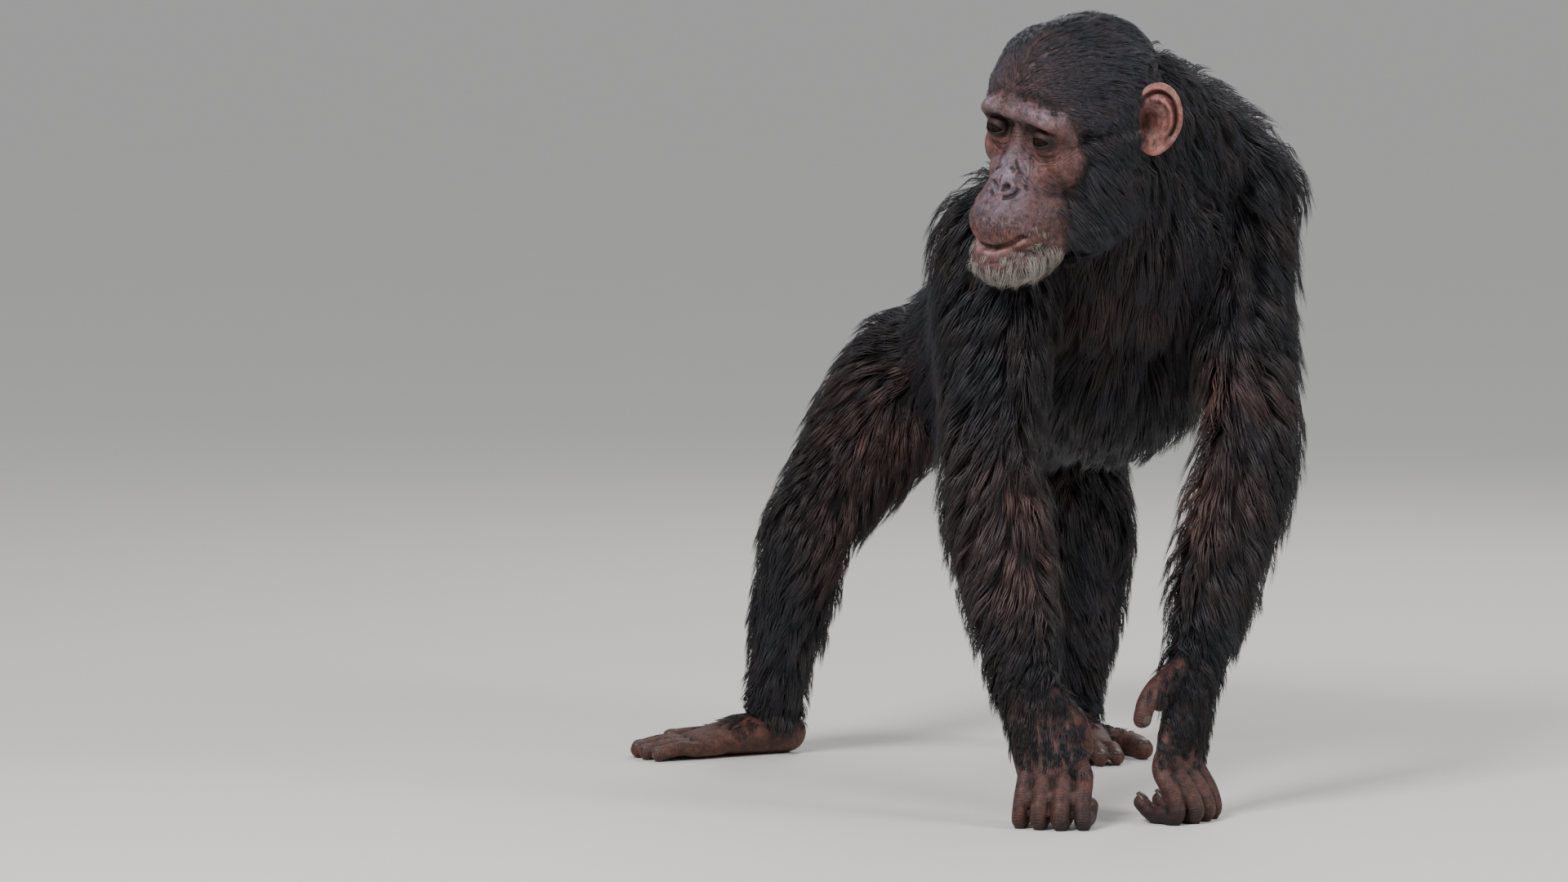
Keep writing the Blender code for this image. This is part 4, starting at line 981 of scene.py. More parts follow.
def hollow_of(obj, rounds=6):
    """How far each point lies below its neighbours, in metres, averaged over a few rounds."""
    mesh = obj.data
    points = points_of(obj)
    edges = np.empty(len(mesh.edges) * 2, np.int64)
    mesh.edges.foreach_get("vertices", edges)
    a, b = edges.reshape(-1, 2).T
    count = np.bincount(np.concatenate([a, b]), minlength=len(points))[:, None]
    level = points
    for _ in range(rounds):
        total = np.stack([np.bincount(a, level[b, k], len(points)) + np.bincount(b, level[a, k], len(points))
                          for k in range(3)], 1)
        level = 0.5 * level + 0.5 * total / np.maximum(count, 1)
    return ((level - points) * normals_of(obj)).sum(1)


def fold_field(obj):
    """Phase and depth, at each point, of the fine folds that run side by side over the skin."""
    points = points_of(obj)
    local = head_local(points)
    x, y, z = np.abs(local[:, 0]), local[:, 1], local[:, 2]
    front = smooth(3.6, 2.6, y) * smooth(7.5, 6.0, x)
    flat = np.stack([x, 0 * x, z], 1)
    from_eye = np.hypot(x - EYE_X, (z - EYE_Z) * 1.15)
    fan = np.arctan2(z - EYE_Z, x - 3.2)
    folds = [
        (0.6 * smooth(1.15, 1.5, from_eye) * smooth(3.6, 2.4, from_eye) * smooth(0.2, -0.5, z), from_eye / 0.27),
        (near(flat, (1.5, 0, -2.9), (0.8, 1, 1.2)), (0.8 * x + 0.6 * z) / 0.27),
        (0.8 * near(flat, (0, 0, 0.3), (1.1, 1, 1.1)), z / 0.31),
        (0.7 * near(flat, (4.9, 0, 0.1), (0.7, 1, 1.0)), fan * 1.5),
        (0.5 * near(flat, (2.6, 0, 2.7), (2.2, 1, 0.7)), (x + 0.5 * z) / 0.30),
        (0.6 * near(flat, (1.5, 0, -7.9), (3.2, 1, 1.6)), (x + 0.12 * z) / 0.26),
        (0.5 * near(flat, (1.5, 0, -11.0), (3.0, 1, 0.8)), (x - 0.2 * z) / 0.26),
        (0.6 * near(flat, (4.0, 0, -4.0), (1.2, 1, 1.8)), (0.75 * x + 0.65 * z) / 0.36),
    ]
    weights = [w * front for w, _ in folds]
    phases = [turns for _, turns in folds]
    for side in (LEFT, RIGHT):
        digits = [places for places, _ in finger_bones(side)] + [places for places, _, _ in toe_bones(side)]
        digits.append(THUMBS[side])
        for places in digits:
            for before, joint in zip(places[:-1], places[1:]):
                lengthwise = unit(vec(joint) - vec(before))
                away = points - vec(joint)
                weights.append(0.9 * np.exp(-(away ** 2).sum(1) / 0.010 ** 2))
                phases.append(away @ lengthwise / 0.0026)
    weights, phases = np.array(weights), np.array(phases)
    order = np.argsort(-weights, axis=0)
    first = np.take_along_axis(weights, order[:1], 0)[0]
    second = np.take_along_axis(weights, order[1:2], 0)[0]
    phase = np.take_along_axis(phases, order[:1], 0)[0]
    return phase * 2 * math.pi, np.clip(first - second * 0.8, 0, 1)


def skin_tint(obj, settings):
    """The skin's colour at each point: bare face, ears, hands and feet, and dark under the coat, with painted shade
    round the eyes, in the nostrils, mouth line, ear hollows and hollows of the skin, and painted light on its
    ridges.
    """
    points = points_of(obj)
    local = head_local(points)
    mirrored = local * vec((1, 1, 1))
    mirrored[:, 0] = np.abs(local[:, 0])
    under_coat = vec(linear("120d0d"))
    tint = np.tile(under_coat, (len(points), 1))

    def lay(weight, colour):
        nonlocal tint
        weight = np.clip(weight, 0, 1)[:, None]
        tint = tint * (1 - weight) + vec(colour)[:3] * weight

    for side in (LEFT, RIGHT):
        lay(smooth(0.90, 1.08, share_along(points, ELBOW[side], WRIST[side]))
            * smooth(0.26, 0.20, points[:, 2]) * smooth(0.17, 0.13, np.linalg.norm(
                points - vec(WRIST[side]), axis=1)), settings.hand_colour)
        lay(smooth(0.075, 0.045, points[:, 2]) * smooth(0.22, 0.18, np.linalg.norm(
            points - vec(ANKLE[side]), axis=1)), settings.foot_colour)
        thumb = vec(THUMBS[side][-1])
        lay(0.5 * near(points, thumb, (0.018,) * 3), linear("6d473c"))
    on_head = smooth(17.5, 15.5, np.linalg.norm(local - vec((0, 6, -3)), axis=1))
    lay(on_head * smooth(0.5, 3.0, local[:, 2]) * smooth(12, 7, local[:, 1]), linear("443232"))
    haired = hairline(local)
    bare = on_head * (1 - smooth(0.15, 0.95, haired)) * smooth(12.5, 9.0, local[:, 1])
    lay(bare, settings.face_colour)
    lay(bare * near(mirrored, (2.7, -0.7, 2.9), (3.4, 2.5, 1.0)), settings.brow_colour)
    lay(0.80 * bare * near(mirrored, (3.5, 0.4, -1.8), (1.9, 3.0, 1.3)), linear("704438"))
    lay(0.85 * bare * near(mirrored, (0.3, -1.6, -3.6), (1.9, 2.2, 2.6)), settings.muzzle_colour)
    lay(0.80 * bare * near(mirrored, (0.5, -3.5, -6.2), (2.6, 2.5, 1.5)), settings.muzzle_colour)
    lay(0.60 * bare * near(mirrored, (0.6, -2.0, -2.9), (1.4, 2.0, 1.6)), linear("85727a"))
    lay(0.70 * bare * near(mirrored, (2.2, -3.0, -8.6), (2.6, 3.0, 1.2)), linear("6b4138"))
    lay(0.65 * bare * near(mirrored, (4.4, 1.5, -6.0), (1.6, 3.0, 2.6)), linear("452e2d"))
    # Painted shade of the brow and sockets: darker over the upper lids, in rings round each eye and in the inner
    # corners by the nose.
    rim = np.hypot((mirrored[:, 0] - EYE_X) / 1.05, (mirrored[:, 2] - EYE_Z - 0.03) / 0.42)
    lay(0.75 * bare * near(mirrored, (2.9, -0.4, 0.95), (1.7, 1.4, 0.60)), linear("331c16"))
    lay(0.70 * bare * smooth(2.6, 1.4, rim) * smooth(2.4, 1.8, local[:, 1]), linear("3a211a"))
    lay(0.95 * bare * smooth(1.75, 1.15, rim) * smooth(2.4, 1.8, local[:, 1]), linear("150c0d"))
    lay(0.6 * bare * near(mirrored, (1.5, -0.2, 0.5), (0.8, 1.6, 1.2)), linear("35231f"))
    # Painted shade inside the nostrils.
    lay(0.9 * bare * near(mirrored, (0.65, -2.3, -4.25), (0.34, 1.2, 0.26)), linear("1c1211"))
    off_lips = local[:, 2] - lip_height(local[:, 0])
    at_mouth = bare * smooth(3.7, 3.2, np.abs(local[:, 0])) * smooth(1.5, 0.5, local[:, 1])
    lay(0.8 * at_mouth * np.exp(-((off_lips + 0.32) / 0.24) ** 2), linear("8c6862"))
    lay(0.35 * at_mouth * np.exp(-((off_lips - 0.30) / 0.24) ** 2), linear("6e4c46"))
    # Painted shade in the groove of the mouth line.
    lay(0.85 * at_mouth * np.exp(-(off_lips / 0.085) ** 2), linear("2c1715"))
    for side in (LEFT, RIGHT):
        middle = vec(EAR_MIDDLE) * vec((side, 1, 1))
        on_ear = smooth(4.3, 3.4, np.linalg.norm((local - middle) / vec((1, 1, 1.05)), axis=1))
        on_ear = on_ear * smooth(5.8, 6.5, np.abs(local[:, 0])) * smooth(8.4, 8.9, local[:, 1])
        lay(on_ear, settings.ear_colour)
        outward = unit((0.78 * side, 0.62, 0.0))
        hollow = middle + outward * (-0.22 * EAR_HALF_WIDE / CM) + vec((0, 0, -0.35))
        # Painted shade in the hollow over the ear canal.
        lay(0.85 * on_ear * near(local, hollow, (1.1, 1.1, 1.4)), linear("2a1714"))
    # Painted shade darkens the skin where it lies below its neighbours, and painted light brightens it where it
    # stands above them.
    hollow = hollow_of(obj)
    dark = 1 - 0.65 * smooth(0.00005, 0.00040, hollow)
    light = 1 + 0.18 * smooth(0.00006, 0.00045, -hollow)
    return np.clip(tint * (dark * light)[:, None], 0, 1)


# Materials.


def add(tree, kind, inputs=None, **settings):
    """Adds a node with its settings. Each input is a value, or another node's output to link."""
    made = tree.nodes.new(kind)
    for key, value in settings.items():
        setattr(made, key, value)
    for key, value in (inputs or {}).items():
        if isinstance(value, bpy.types.NodeSocket):
            tree.links.new(value, made.inputs[key])
        else:
            made.inputs[key].default_value = value
    return made


def new_material(name):
    material = bpy.data.materials.new(name)
    material.use_nodes = True
    tree = material.node_tree
    return material, tree, tree.nodes["Principled BSDF"]


def skin_material(settings):
    """Living ape skin: soft and faintly oily, mottled, with fine crossing creases and pores, and painted shade in
    the grooves of its folds.
    """
    material, tree, shader = new_material("Bare ape skin")
    place = add(tree, "ShaderNodeTexCoord").outputs["Object"]
    tint = add(tree, "ShaderNodeAttribute", attribute_name="tint").outputs["Color"]
    # Blotches of pigment 4 to 10 mm across, and freckles of 1.5 mm.
    blotch = add(tree, "ShaderNodeTexNoise", {"Vector": place, "Scale": 150.0, "Detail": 4.0, "Roughness": 0.6})
    freckle = add(tree, "ShaderNodeTexNoise", {"Vector": place, "Scale": 620.0, "Detail": 3.0})
    darker = add(tree, "ShaderNodeMapRange", {"Value": blotch.outputs["Fac"], "From Min": 0.32, "From Max": 0.68,
                                              "To Min": 0.44, "To Max": 1.40})
    spots = add(tree, "ShaderNodeMapRange", {"Value": freckle.outputs["Fac"], "From Min": 0.30, "From Max": 0.52,
                                             "To Min": 0.52, "To Max": 1.0})
    both = add(tree, "ShaderNodeMath", {0: darker.outputs[0], 1: spots.outputs[0]}, operation="MULTIPLY")
    shade = add(tree, "ShaderNodeVectorMath", {0: tint, "Scale": both.outputs[0]}, operation="SCALE")
    rosy = add(tree, "ShaderNodeTexNoise", {"Vector": place, "Scale": 85.0, "Detail": 2.0})
    red = add(tree, "ShaderNodeMapRange", {"Value": rosy.outputs["Fac"], "From Min": 0.45, "From Max": 0.75,
                                           "To Min": 0.0, "To Max": 0.45})
    warm = add(tree, "ShaderNodeMix", {"Factor": red.outputs[0], "A": shade.outputs[0],
                                       "B": (*settings.blush_colour, 1)}, data_type="RGBA", blend_type="SOFT_LIGHT")
    # Where the skin is thin it looks bluish, in patches of 1 to 2 cm.
    thin = add(tree, "ShaderNodeTexNoise", {"Vector": place, "Scale": 60.0, "Detail": 3.0})
    blue = add(tree, "ShaderNodeMapRange", {"Value": thin.outputs["Fac"], "From Min": 0.42, "From Max": 0.66})
    cool = add(tree, "ShaderNodeVectorMath", {0: warm.outputs["Result"], 1: (0.90, 1.03, 1.16)},
               operation="MULTIPLY")
    mixed = add(tree, "ShaderNodeMix", {"Factor": blue.outputs[0], "A": warm.outputs["Result"],
                                        "B": cool.outputs[0]}, data_type="RGBA")
    # Folds run side by side 2.6 to 3.5 mm apart: each is a thin groove between soft ridges, bumped in and darkened
    # with painted shade.
    phase = add(tree, "ShaderNodeAttribute", attribute_name="fold_phase").outputs["Fac"]
    depth = add(tree, "ShaderNodeAttribute", attribute_name="fold_depth").outputs["Fac"]
    bend = add(tree, "ShaderNodeMath", {0: rosy.outputs["Fac"], 1: 9.0, 2: phase}, operation="MULTIPLY_ADD")
    wave = add(tree, "ShaderNodeMath", {0: bend.outputs[0]}, operation="SINE")
    ridge = add(tree, "ShaderNodeMapRange", {"Value": wave.outputs[0], "From Min": -1.0, "From Max": -0.2,
                                             "To Min": 1.0, "To Max": 0.0}, interpolation_type="SMOOTHSTEP")
    groove = add(tree, "ShaderNodeMath", {0: ridge.outputs[0], 1: depth}, operation="MULTIPLY")
    # Painted shade darkens the colour in each fold's groove.
    painted_groove_shade = add(tree, "ShaderNodeMath", {0: groove.outputs[0], 1: -0.38, 2: 1.0}, operation="MULTIPLY_ADD")
    lined = add(tree, "ShaderNodeVectorMath", {0: mixed.outputs["Result"], "Scale": painted_groove_shade.outputs[0]},
                operation="SCALE")
    tree.links.new(lined.outputs[0], shader.inputs["Base Color"])
    folded = add(tree, "ShaderNodeMath", {0: groove.outputs[0], 1: -1.0}, operation="MULTIPLY")
    deep = add(tree, "ShaderNodeBump", {"Height": folded.outputs[0], "Strength": 1.0, "Distance": 0.0007})
    # Creases cross each other 1 mm apart.
    creases = add(tree, "ShaderNodeTexVoronoi", {"Vector": place, "Scale": 1000.0}, feature="DISTANCE_TO_EDGE")
    net = add(tree, "ShaderNodeMapRange", {"Value": creases.outputs["Distance"], "From Max": 0.22})
    pores = add(tree, "ShaderNodeTexNoise", {"Vector": place, "Scale": 1500.0, "Detail": 2.0})
    grain = add(tree, "ShaderNodeMath", {0: net.outputs[0], 1: pores.outputs["Fac"]}, operation="ADD")
    bump = add(tree, "ShaderNodeBump", {"Height": grain.outputs[0], "Strength": settings.crease_depth,
                                        "Distance": 0.0006, "Normal": deep.outputs["Normal"]})
    tree.links.new(bump.outputs["Normal"], shader.inputs["Normal"])
    gloss = add(tree, "ShaderNodeMapRange", {"Value": blotch.outputs["Fac"], "To Min": 0.46, "To Max": 0.68})
    tree.links.new(gloss.outputs[0], shader.inputs["Roughness"])
    shader.inputs["IOR"].default_value = 1.45
    shader.inputs["Specular IOR Level"].default_value = 0.42
    return material


def hair_material(name, root, tip, brown, gloss, sheen):
    """Hair: darker at its root, glossy along the shaft, each tuft a little different."""
    material, tree, shader = new_material(name)
    share = add(tree, "ShaderNodeAttribute", attribute_name="share").outputs["Fac"]
    shade = add(tree, "ShaderNodeAttribute", attribute_name="shade").outputs["Fac"]
    patch = add(tree, "ShaderNodeAttribute", attribute_name="brown").outputs["Fac"]
    place = add(tree, "ShaderNodeTexCoord").outputs["Object"]
    shaft = add(tree, "ShaderNodeMix", {"Factor": share, "A": (*root, 1), "B": (*tip, 1)}, data_type="RGBA")
    # Patches of sun-bleached brown hair 3 to 6 cm across break up the black.
    cloud = add(tree, "ShaderNodeTexNoise", {"Vector": place, "Scale": 22.0, "Detail": 3.0})
    faded = add(tree, "ShaderNodeMapRange", {"Value": cloud.outputs["Fac"], "From Min": 0.46, "From Max": 0.75,
                                             "To Min": 0.0, "To Max": 0.42})
    total = add(tree, "ShaderNodeMath", {0: patch, 1: faded.outputs[0]}, operation="ADD", use_clamp=True)
    some = add(tree, "ShaderNodeMapRange", {"Value": shade, "To Min": 0.45, "To Max": 1.0})
    amount = add(tree, "ShaderNodeMath", {0: total.outputs[0], 1: some.outputs[0]}, operation="MULTIPLY")
    coloured = add(tree, "ShaderNodeMix", {"Factor": amount.outputs[0], "A": shaft.outputs["Result"],
                                           "B": (*brown, 1)}, data_type="RGBA")
    each = add(tree, "ShaderNodeMapRange", {"Value": shade, "To Min": 0.70, "To Max": 1.25})
    final = add(tree, "ShaderNodeVectorMath", {0: coloured.outputs["Result"], "Scale": each.outputs[0]},
                operation="SCALE")
    tree.links.new(final.outputs[0], shader.inputs["Base Color"])
    shader.inputs["Roughness"].default_value = gloss
    shader.inputs["IOR"].default_value = 1.55
    shader.inputs["Sheen Weight"].default_value = sheen
    shader.inputs["Sheen Tint"].default_value = (*linear("b9c6ea"), 1)
    return material


# Geometry Nodes that grow a coat.

COAT = "Coat of tufts"
GROUND = "Ground of the coat"
NEAR_FLOOR = 0.003


def tuft_patterns(hairs, hair_width, spread, shares=(0.0, 0.5, 1.0), kinds=4):
    """A few tufts of tapered hairs, one unit long along y, that lean together towards their tips."""
    dice = random.Random(3)
    group = bpy.data.collections.new("Tuft patterns")
    bpy.context.scene.collection.children.link(group)
    rings = len(shares) - 1
    for kind in range(kinds):
        points, faces, share, rise, patch = [], [], [], [], []
        for hair in range(hairs):
            root = vec((dice.uniform(-1, 1) * spread, dice.uniform(0.0, 0.12), 0))
            lean = dice.uniform(0.15, 0.75)
            wave = dice.uniform(-0.4, 0.4) * spread
            size = dice.uniform(0.70, 1.0) - root[1] * 0.5
            level = dice.uniform(-0.4, 0.7) * hair_width
            start = len(points)
            for t in shares[:-1]:
                across = root[0] * (1 - lean * t) + wave * math.sin(3.0 * t)
                half = hair_width / 2 * (0.75 + 0.8 * t - 1.25 * t * t)
                for step, high in ((-1, 0.0), (0, 0.9), (1, 0.0)):
                    points.append((across + half * step, root[1] + size * t, 0))
                    share.append(t)
                    rise.append(level + high * half)
                    patch.append((hair + 0.5 + 0.4 * step, t))
            points.append((root[0] * (1 - lean) + wave * math.sin(3.0), root[1] + size, 0))
            share.append(1.0)
            rise.append(level)
            patch.append((hair + 0.5, 1.0))
            for r in range(rings - 1):
                for k in range(3):
                    n = (k + 1) % 3
                    a, b = start + 3 * r + k, start + 3 * r + n
                    faces += [(a, b, b + 3), (a, b + 3, a + 3)]
            last = start + 3 * (rings - 1)
            faces += [(last + k, last + (k + 1) % 3, start + 3 * rings) for k in range(3)]
            faces.append((start + 2, start + 1, start))
        mesh = bpy.data.meshes.new("Tuft")
        mesh.from_pydata([tuple(p) for p in points], [], faces)
        give(mesh, "share", share)
        give(mesh, "rise", rise)
        patch = np.array(patch) / vec((hairs, 1)) - 0.5
        give(mesh, "patch", np.column_stack([patch, np.zeros(len(patch))]), "FLOAT_VECTOR")
        group.objects.link(bpy.data.objects.new("Tuft", mesh))
    return group


def coat_tree():
    """Grows tufts on a surface: spread, aimed along the lie, laid over the skin, and coloured."""
    tree = bpy.data.node_groups.new(COAT, "GeometryNodeTree")
    face = tree.interface
    for name, kind in (
        ("Geometry", "Geometry"), ("Skin", "Object"), ("Tufts", "Collection"), ("Tufts per m2", "Float"),
        ("Length", "Float"), ("Width", "Float"), ("Lift", "Float"), ("Sway", "Float"), ("Sag", "Float"),
        ("Seed", "Int"), ("Root depth", "Float"), ("Cling", "Float"), ("Patch size", "Float"), ("Hair", "Material"),
    ):
        face.new_socket(name=name, in_out="INPUT", socket_type="NodeSocket" + kind)
    face.new_socket(name="Geometry", in_out="OUTPUT", socket_type="NodeSocketGeometry")
    given = add(tree, "NodeGroupInput").outputs

    def read(name, kind="FLOAT"):
        return add(tree, "GeometryNodeInputNamedAttribute", {"Name": name}, data_type=kind).outputs[0]

    def maths(operation, a, b):
        return add(tree, "ShaderNodeMath", {0: a, 1: b}, operation=operation).outputs[0]

    def vectors(operation, a, b):
        made = add(tree, "ShaderNodeVectorMath", {0: a}, operation=operation)
        slot = "Scale" if operation == "SCALE" else 1
        if isinstance(b, bpy.types.NodeSocket):
            tree.links.new(b, made.inputs[slot])
        else:
            made.inputs[slot].default_value = b
        return made.outputs["Value" if operation == "DOT_PRODUCT" else "Vector"]

    def number(low, high, offset):
        made = add(tree, "FunctionNodeRandomValue", {2: low, 3: high, "Seed": offset}, data_type="FLOAT")
        return made.outputs[1]

    dense = maths("MULTIPLY", read("haired"), given["Tufts per m2"])
    spread = add(tree, "GeometryNodeDistributePointsOnFaces", {
        "Mesh": given["Geometry"], "Density": dense, "Seed": given["Seed"]})
    upright = add(tree, "FunctionNodeAlignRotationToVector", {"Vector": read("up", "FLOAT_VECTOR")}, axis="Z")
    wander = add(tree, "FunctionNodeRandomValue", {0: (-1, -1, -1), 1: (1, 1, 1), "Seed": 7},
                 data_type="FLOAT_VECTOR").outputs[0]
    aim = vectors("ADD", read("lie", "FLOAT_VECTOR"), vectors("SCALE", wander, given["Sway"]))
    turned = add(tree, "FunctionNodeAlignRotationToVector", {
        "Rotation": upright.outputs[0], "Vector": aim}, axis="Y", pivot_axis="Z")
    long = maths("MULTIPLY", maths("MULTIPLY", read("length"), given["Length"]), number(0.72, 1.12, 1))
    size = add(tree, "ShaderNodeCombineXYZ", {"X": given["Width"], "Y": long, "Z": 1.0})
    patterns = add(tree, "GeometryNodeCollectionInfo", {
        "Collection": given["Tufts"], "Separate Children": True, "Reset Children": True})
    which = add(tree, "FunctionNodeRandomValue", {4: 0, 5: 3, "Seed": 4}, data_type="INT").outputs[2]
    tufts = add(tree, "GeometryNodeInstanceOnPoints", {
        "Points": spread.outputs["Points"], "Instance": patterns.outputs[0], "Pick Instance": True,
        "Instance Index": which, "Rotation": turned.outputs[0], "Scale": size.outputs[0]}).outputs[0]
    for name, value in (("height", number(0.30, 1.25, 2)), ("shade", number(0.0, 1.0, 3)), ("reach", long)):
        tufts = add(tree, "GeometryNodeStoreNamedAttribute", {
            "Geometry": tufts, "Name": name, "Value": value}, data_type="FLOAT", domain="INSTANCE").outputs[0]
    real = add(tree, "GeometryNodeRealizeInstances", {"Geometry": tufts}).outputs[0]

    # Each point goes to the nearest place on the skin and rises from it towards the tip. A point
    # that is far from the skin, as past the end of a limb, keeps its own straight line instead.
    skin = add(tree, "GeometryNodeObjectInfo", {"Object": given["Skin"]}).outputs["Geometry"]
    here = add(tree, "GeometryNodeInputPosition").outputs[0]
    foot = add(tree, "GeometryNodeSampleNearestSurface", {"Mesh": skin, "Value": here},
               data_type="FLOAT_VECTOR").outputs[0]
    normal = add(tree, "GeometryNodeSampleNearestSurface", {"Mesh": skin, "Value": read("up", "FLOAT_VECTOR")},
                 data_type="FLOAT_VECTOR").outputs[0]
    share, reach = read("share"), read("reach")
    curve = maths("SUBTRACT", 1.0, maths("POWER", maths("SUBTRACT", 1.0, share), 1.8))
    height = maths("MULTIPLY", maths("MULTIPLY", read("depth"), read("height")), given["Lift"])
    rise = maths("ADD", maths("MULTIPLY", height, curve), maths("SUBTRACT", read("rise"), given["Root depth"]))
    laid = vectors("ADD", foot, vectors("SCALE", normal, rise))
    off = vectors("SUBTRACT", foot, here)
    gap = add(tree, "ShaderNodeVectorMath", {0: off}, operation="LENGTH").outputs["Value"]
    far = add(tree, "ShaderNodeMath", {0: maths("DIVIDE", gap, reach), 1: 2.0}, operation="POWER").outputs[0]
    hold = add(tree, "ShaderNodeMath", {0: 1.0, 1: far}, operation="SUBTRACT", use_clamp=True).outputs[0]
    loose = maths("MULTIPLY", maths("SUBTRACT", 1.0, given["Cling"]), share)
    hold = maths("MULTIPLY", hold, maths("SUBTRACT", 1.0, loose))
    straight = vectors("SCALE", vectors("SUBTRACT", laid, here), hold)
    drop = maths("MULTIPLY", maths("MULTIPLY", maths("POWER", share, 2.0), reach), given["Sag"])
    down = add(tree, "ShaderNodeCombineXYZ", {"Z": maths("MULTIPLY", drop, -1.0)}).outputs[0]
    placed = add(tree, "GeometryNodeSetPosition", {
        "Geometry": real, "Position": vectors("ADD", vectors("ADD", here, straight), down)}).outputs[0]

    small = vectors("SCALE", read("patch", "FLOAT_VECTOR"), given["Patch size"])
    mapped = add(tree, "GeometryNodeStoreNamedAttribute", {
        "Geometry": placed, "Name": "OFBake", "Value": vectors("ADD", read("unwrap", "FLOAT_VECTOR"), small),
    }, data_type="FLOAT2", domain="CORNER").outputs[0]
    done = add(tree, "GeometryNodeSetMaterial", {"Geometry": mapped, "Material": given["Hair"]}).outputs[0]
    add(tree, "NodeGroupOutput", {0: done})
    return tree


def clothed(base, haired, lie, length, depth):
    """Stores on a base mesh where its hair grows, and how long, deep and brown it is."""
    rows = (("haired", haired), ("length", length), ("depth", depth), ("brown", brown_patches(points_of(base))))
    for name, values in rows:
        give(base.data, name, values)
    give(base.data, "lie", lie, "FLOAT_VECTOR")
    give(base.data, "up", normals_of(base), "FLOAT_VECTOR")


def patch_of(base, chosen):
    """A copy of the chosen faces of a base mesh, unwrapped."""
    obj = bpy.data.objects.new("patch", base.data.copy())
    bpy.context.scene.collection.objects.link(obj)
    work = bmesh.new()
    work.from_mesh(obj.data)
    work.faces.ensure_lookup_table()
    bmesh.ops.delete(work, geom=[f for f, kept in zip(work.faces, chosen) if not kept], context="FACES")
    work.to_mesh(obj.data)
    work.free()
    for other in bpy.context.selected_objects:
        other.select_set(False)
    obj.select_set(True)
    bpy.context.view_layer.objects.active = obj
    bpy.ops.object.mode_set(mode="EDIT")
    bpy.ops.mesh.select_all(action="SELECT")
    bpy.ops.uv.smart_project(angle_limit=math.radians(80), island_margin=0.004)
    bpy.ops.object.mode_set(mode="OBJECT")
    corners = np.empty(len(obj.data.loops) * 2, np.float32)
    obj.data.uv_layers.active.uv.foreach_get("vector", corners)
    flat = np.column_stack([corners.reshape(-1, 2), np.zeros(len(obj.data.loops))])
    give(obj.data, "unwrap", flat, "FLOAT_VECTOR", "CORNER")
    return obj


def of_faces(base, values):
    """The value at each face's first corner."""
    return values[np.array([p.vertices[0] for p in base.data.polygons])]


def grow(base, chosen, name, tufts, material, settings, seed, **sizes):
    """Grows one piece of coat on the chosen faces of a base and keeps it as a plain mesh."""
    patch = patch_of(base, chosen)
    ground = bpy.data.objects.new("ground", bpy.data.meshes[GROUND])
    bpy.context.scene.collection.objects.link(ground)
    tree = bpy.data.node_groups.get(COAT) or coat_tree()
    nodes = patch.modifiers.new("Coat", "NODES")
    nodes.node_group = tree
    values = {"Skin": ground, "Tufts": tufts, "Tufts per m2": settings.tufts_per_m2, "Length": settings.length,
              "Width": 1.0, "Lift": settings.lift, "Sway": 0.16, "Sag": 0.06, "Seed": seed,
              "Root depth": 0.0008, "Cling": 1.0, "Patch size": 0.003, "Hair": material, **sizes}
    for socket in tree.interface.items_tree:
        if socket.item_type == "SOCKET" and socket.in_out == "INPUT" and socket.name in values:
            nodes[socket.identifier] = values[socket.name]
    graph = bpy.context.evaluated_depsgraph_get()
    mesh = bpy.data.meshes.new_from_object(patch.evaluated_get(graph))
    patch.modifiers.remove(nodes)
    bpy.data.objects.remove(patch)
    bpy.data.objects.remove(ground)
    for spent in ("lie", "length", "depth", "haired", "up", "rise", "patch", "unwrap", "height", "reach"):
        if spent in mesh.attributes:
            mesh.attributes.remove(mesh.attributes[spent])
    obj = bpy.data.objects.new(name, mesh)
    bpy.context.scene.collection.objects.link(obj)
    # Hair that would reach the floor bends and lies on it.
    points = points_of(obj)
    low = points[:, 2] < NEAR_FLOOR
    points[low, 2] = NEAR_FLOOR * np.exp(points[low, 2] / NEAR_FLOOR - 1)
    set_points(obj, points)
    return shown(obj, name, material)


def clear_away(objects, collection=None):
    """Removes helpers that no finished piece needs."""
    for obj in objects:
        bpy.data.objects.remove(obj)
    if collection:
        bpy.data.collections.remove(collection)


class SkinSettings(bpy.types.PropertyGroup):
    face_colour: FloatVectorProperty(
        name="Face", description="Skin of the cheeks and jaws", subtype="COLOR", size=3, min=0, max=1,
        default=linear("5a3e3c"))
    brow_colour: FloatVectorProperty(
        name="Brow", description="Paler skin of the brow ridge", subtype="COLOR", size=3, min=0, max=1,
        default=linear("755f62"))
    muzzle_colour: FloatVectorProperty(
        name="Nose", description="Grey skin of the nose and upper lip", subtype="COLOR", size=3, min=0, max=1,
        default=linear("64545c"))
    ear_colour: FloatVectorProperty(
        name="Ears", description="Skin of the ears", subtype="COLOR", size=3, min=0, max=1,
        default=linear("885c54"))
    hand_colour: FloatVectorProperty(
        name="Hands", description="Skin of the fingers and the backs of the hands", subtype="COLOR", size=3,
        min=0, max=1, default=linear("482c26"))
    foot_colour: FloatVectorProperty(
        name="Feet", description="Skin of the feet", subtype="COLOR", size=3, min=0, max=1,
        default=linear("50342b"))
    blush_colour: FloatVectorProperty(
        name="Blush", description="Red that warms patches of the skin", subtype="COLOR", size=3, min=0, max=1,
        default=linear("b06a52"))
    crease_depth: FloatProperty(
        name="Crease depth", description="Strength of the skin's fine creases", subtype="FACTOR",
        default=0.18, min=0, max=1)


class EyeSettings(bpy.types.PropertyGroup):
    radius: FloatProperty(
        name="Radius", description="Radius of the eyeball", subtype="DISTANCE", unit="LENGTH",
        default=(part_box("eye_left")[1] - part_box("eye_left")[0]).z / 2, min=0.005, max=0.02)
    iris_colour: FloatVectorProperty(
        name="Iris", description="Colour of the iris", subtype="COLOR", size=3, min=0, max=1,
        default=linear("2b140a"))


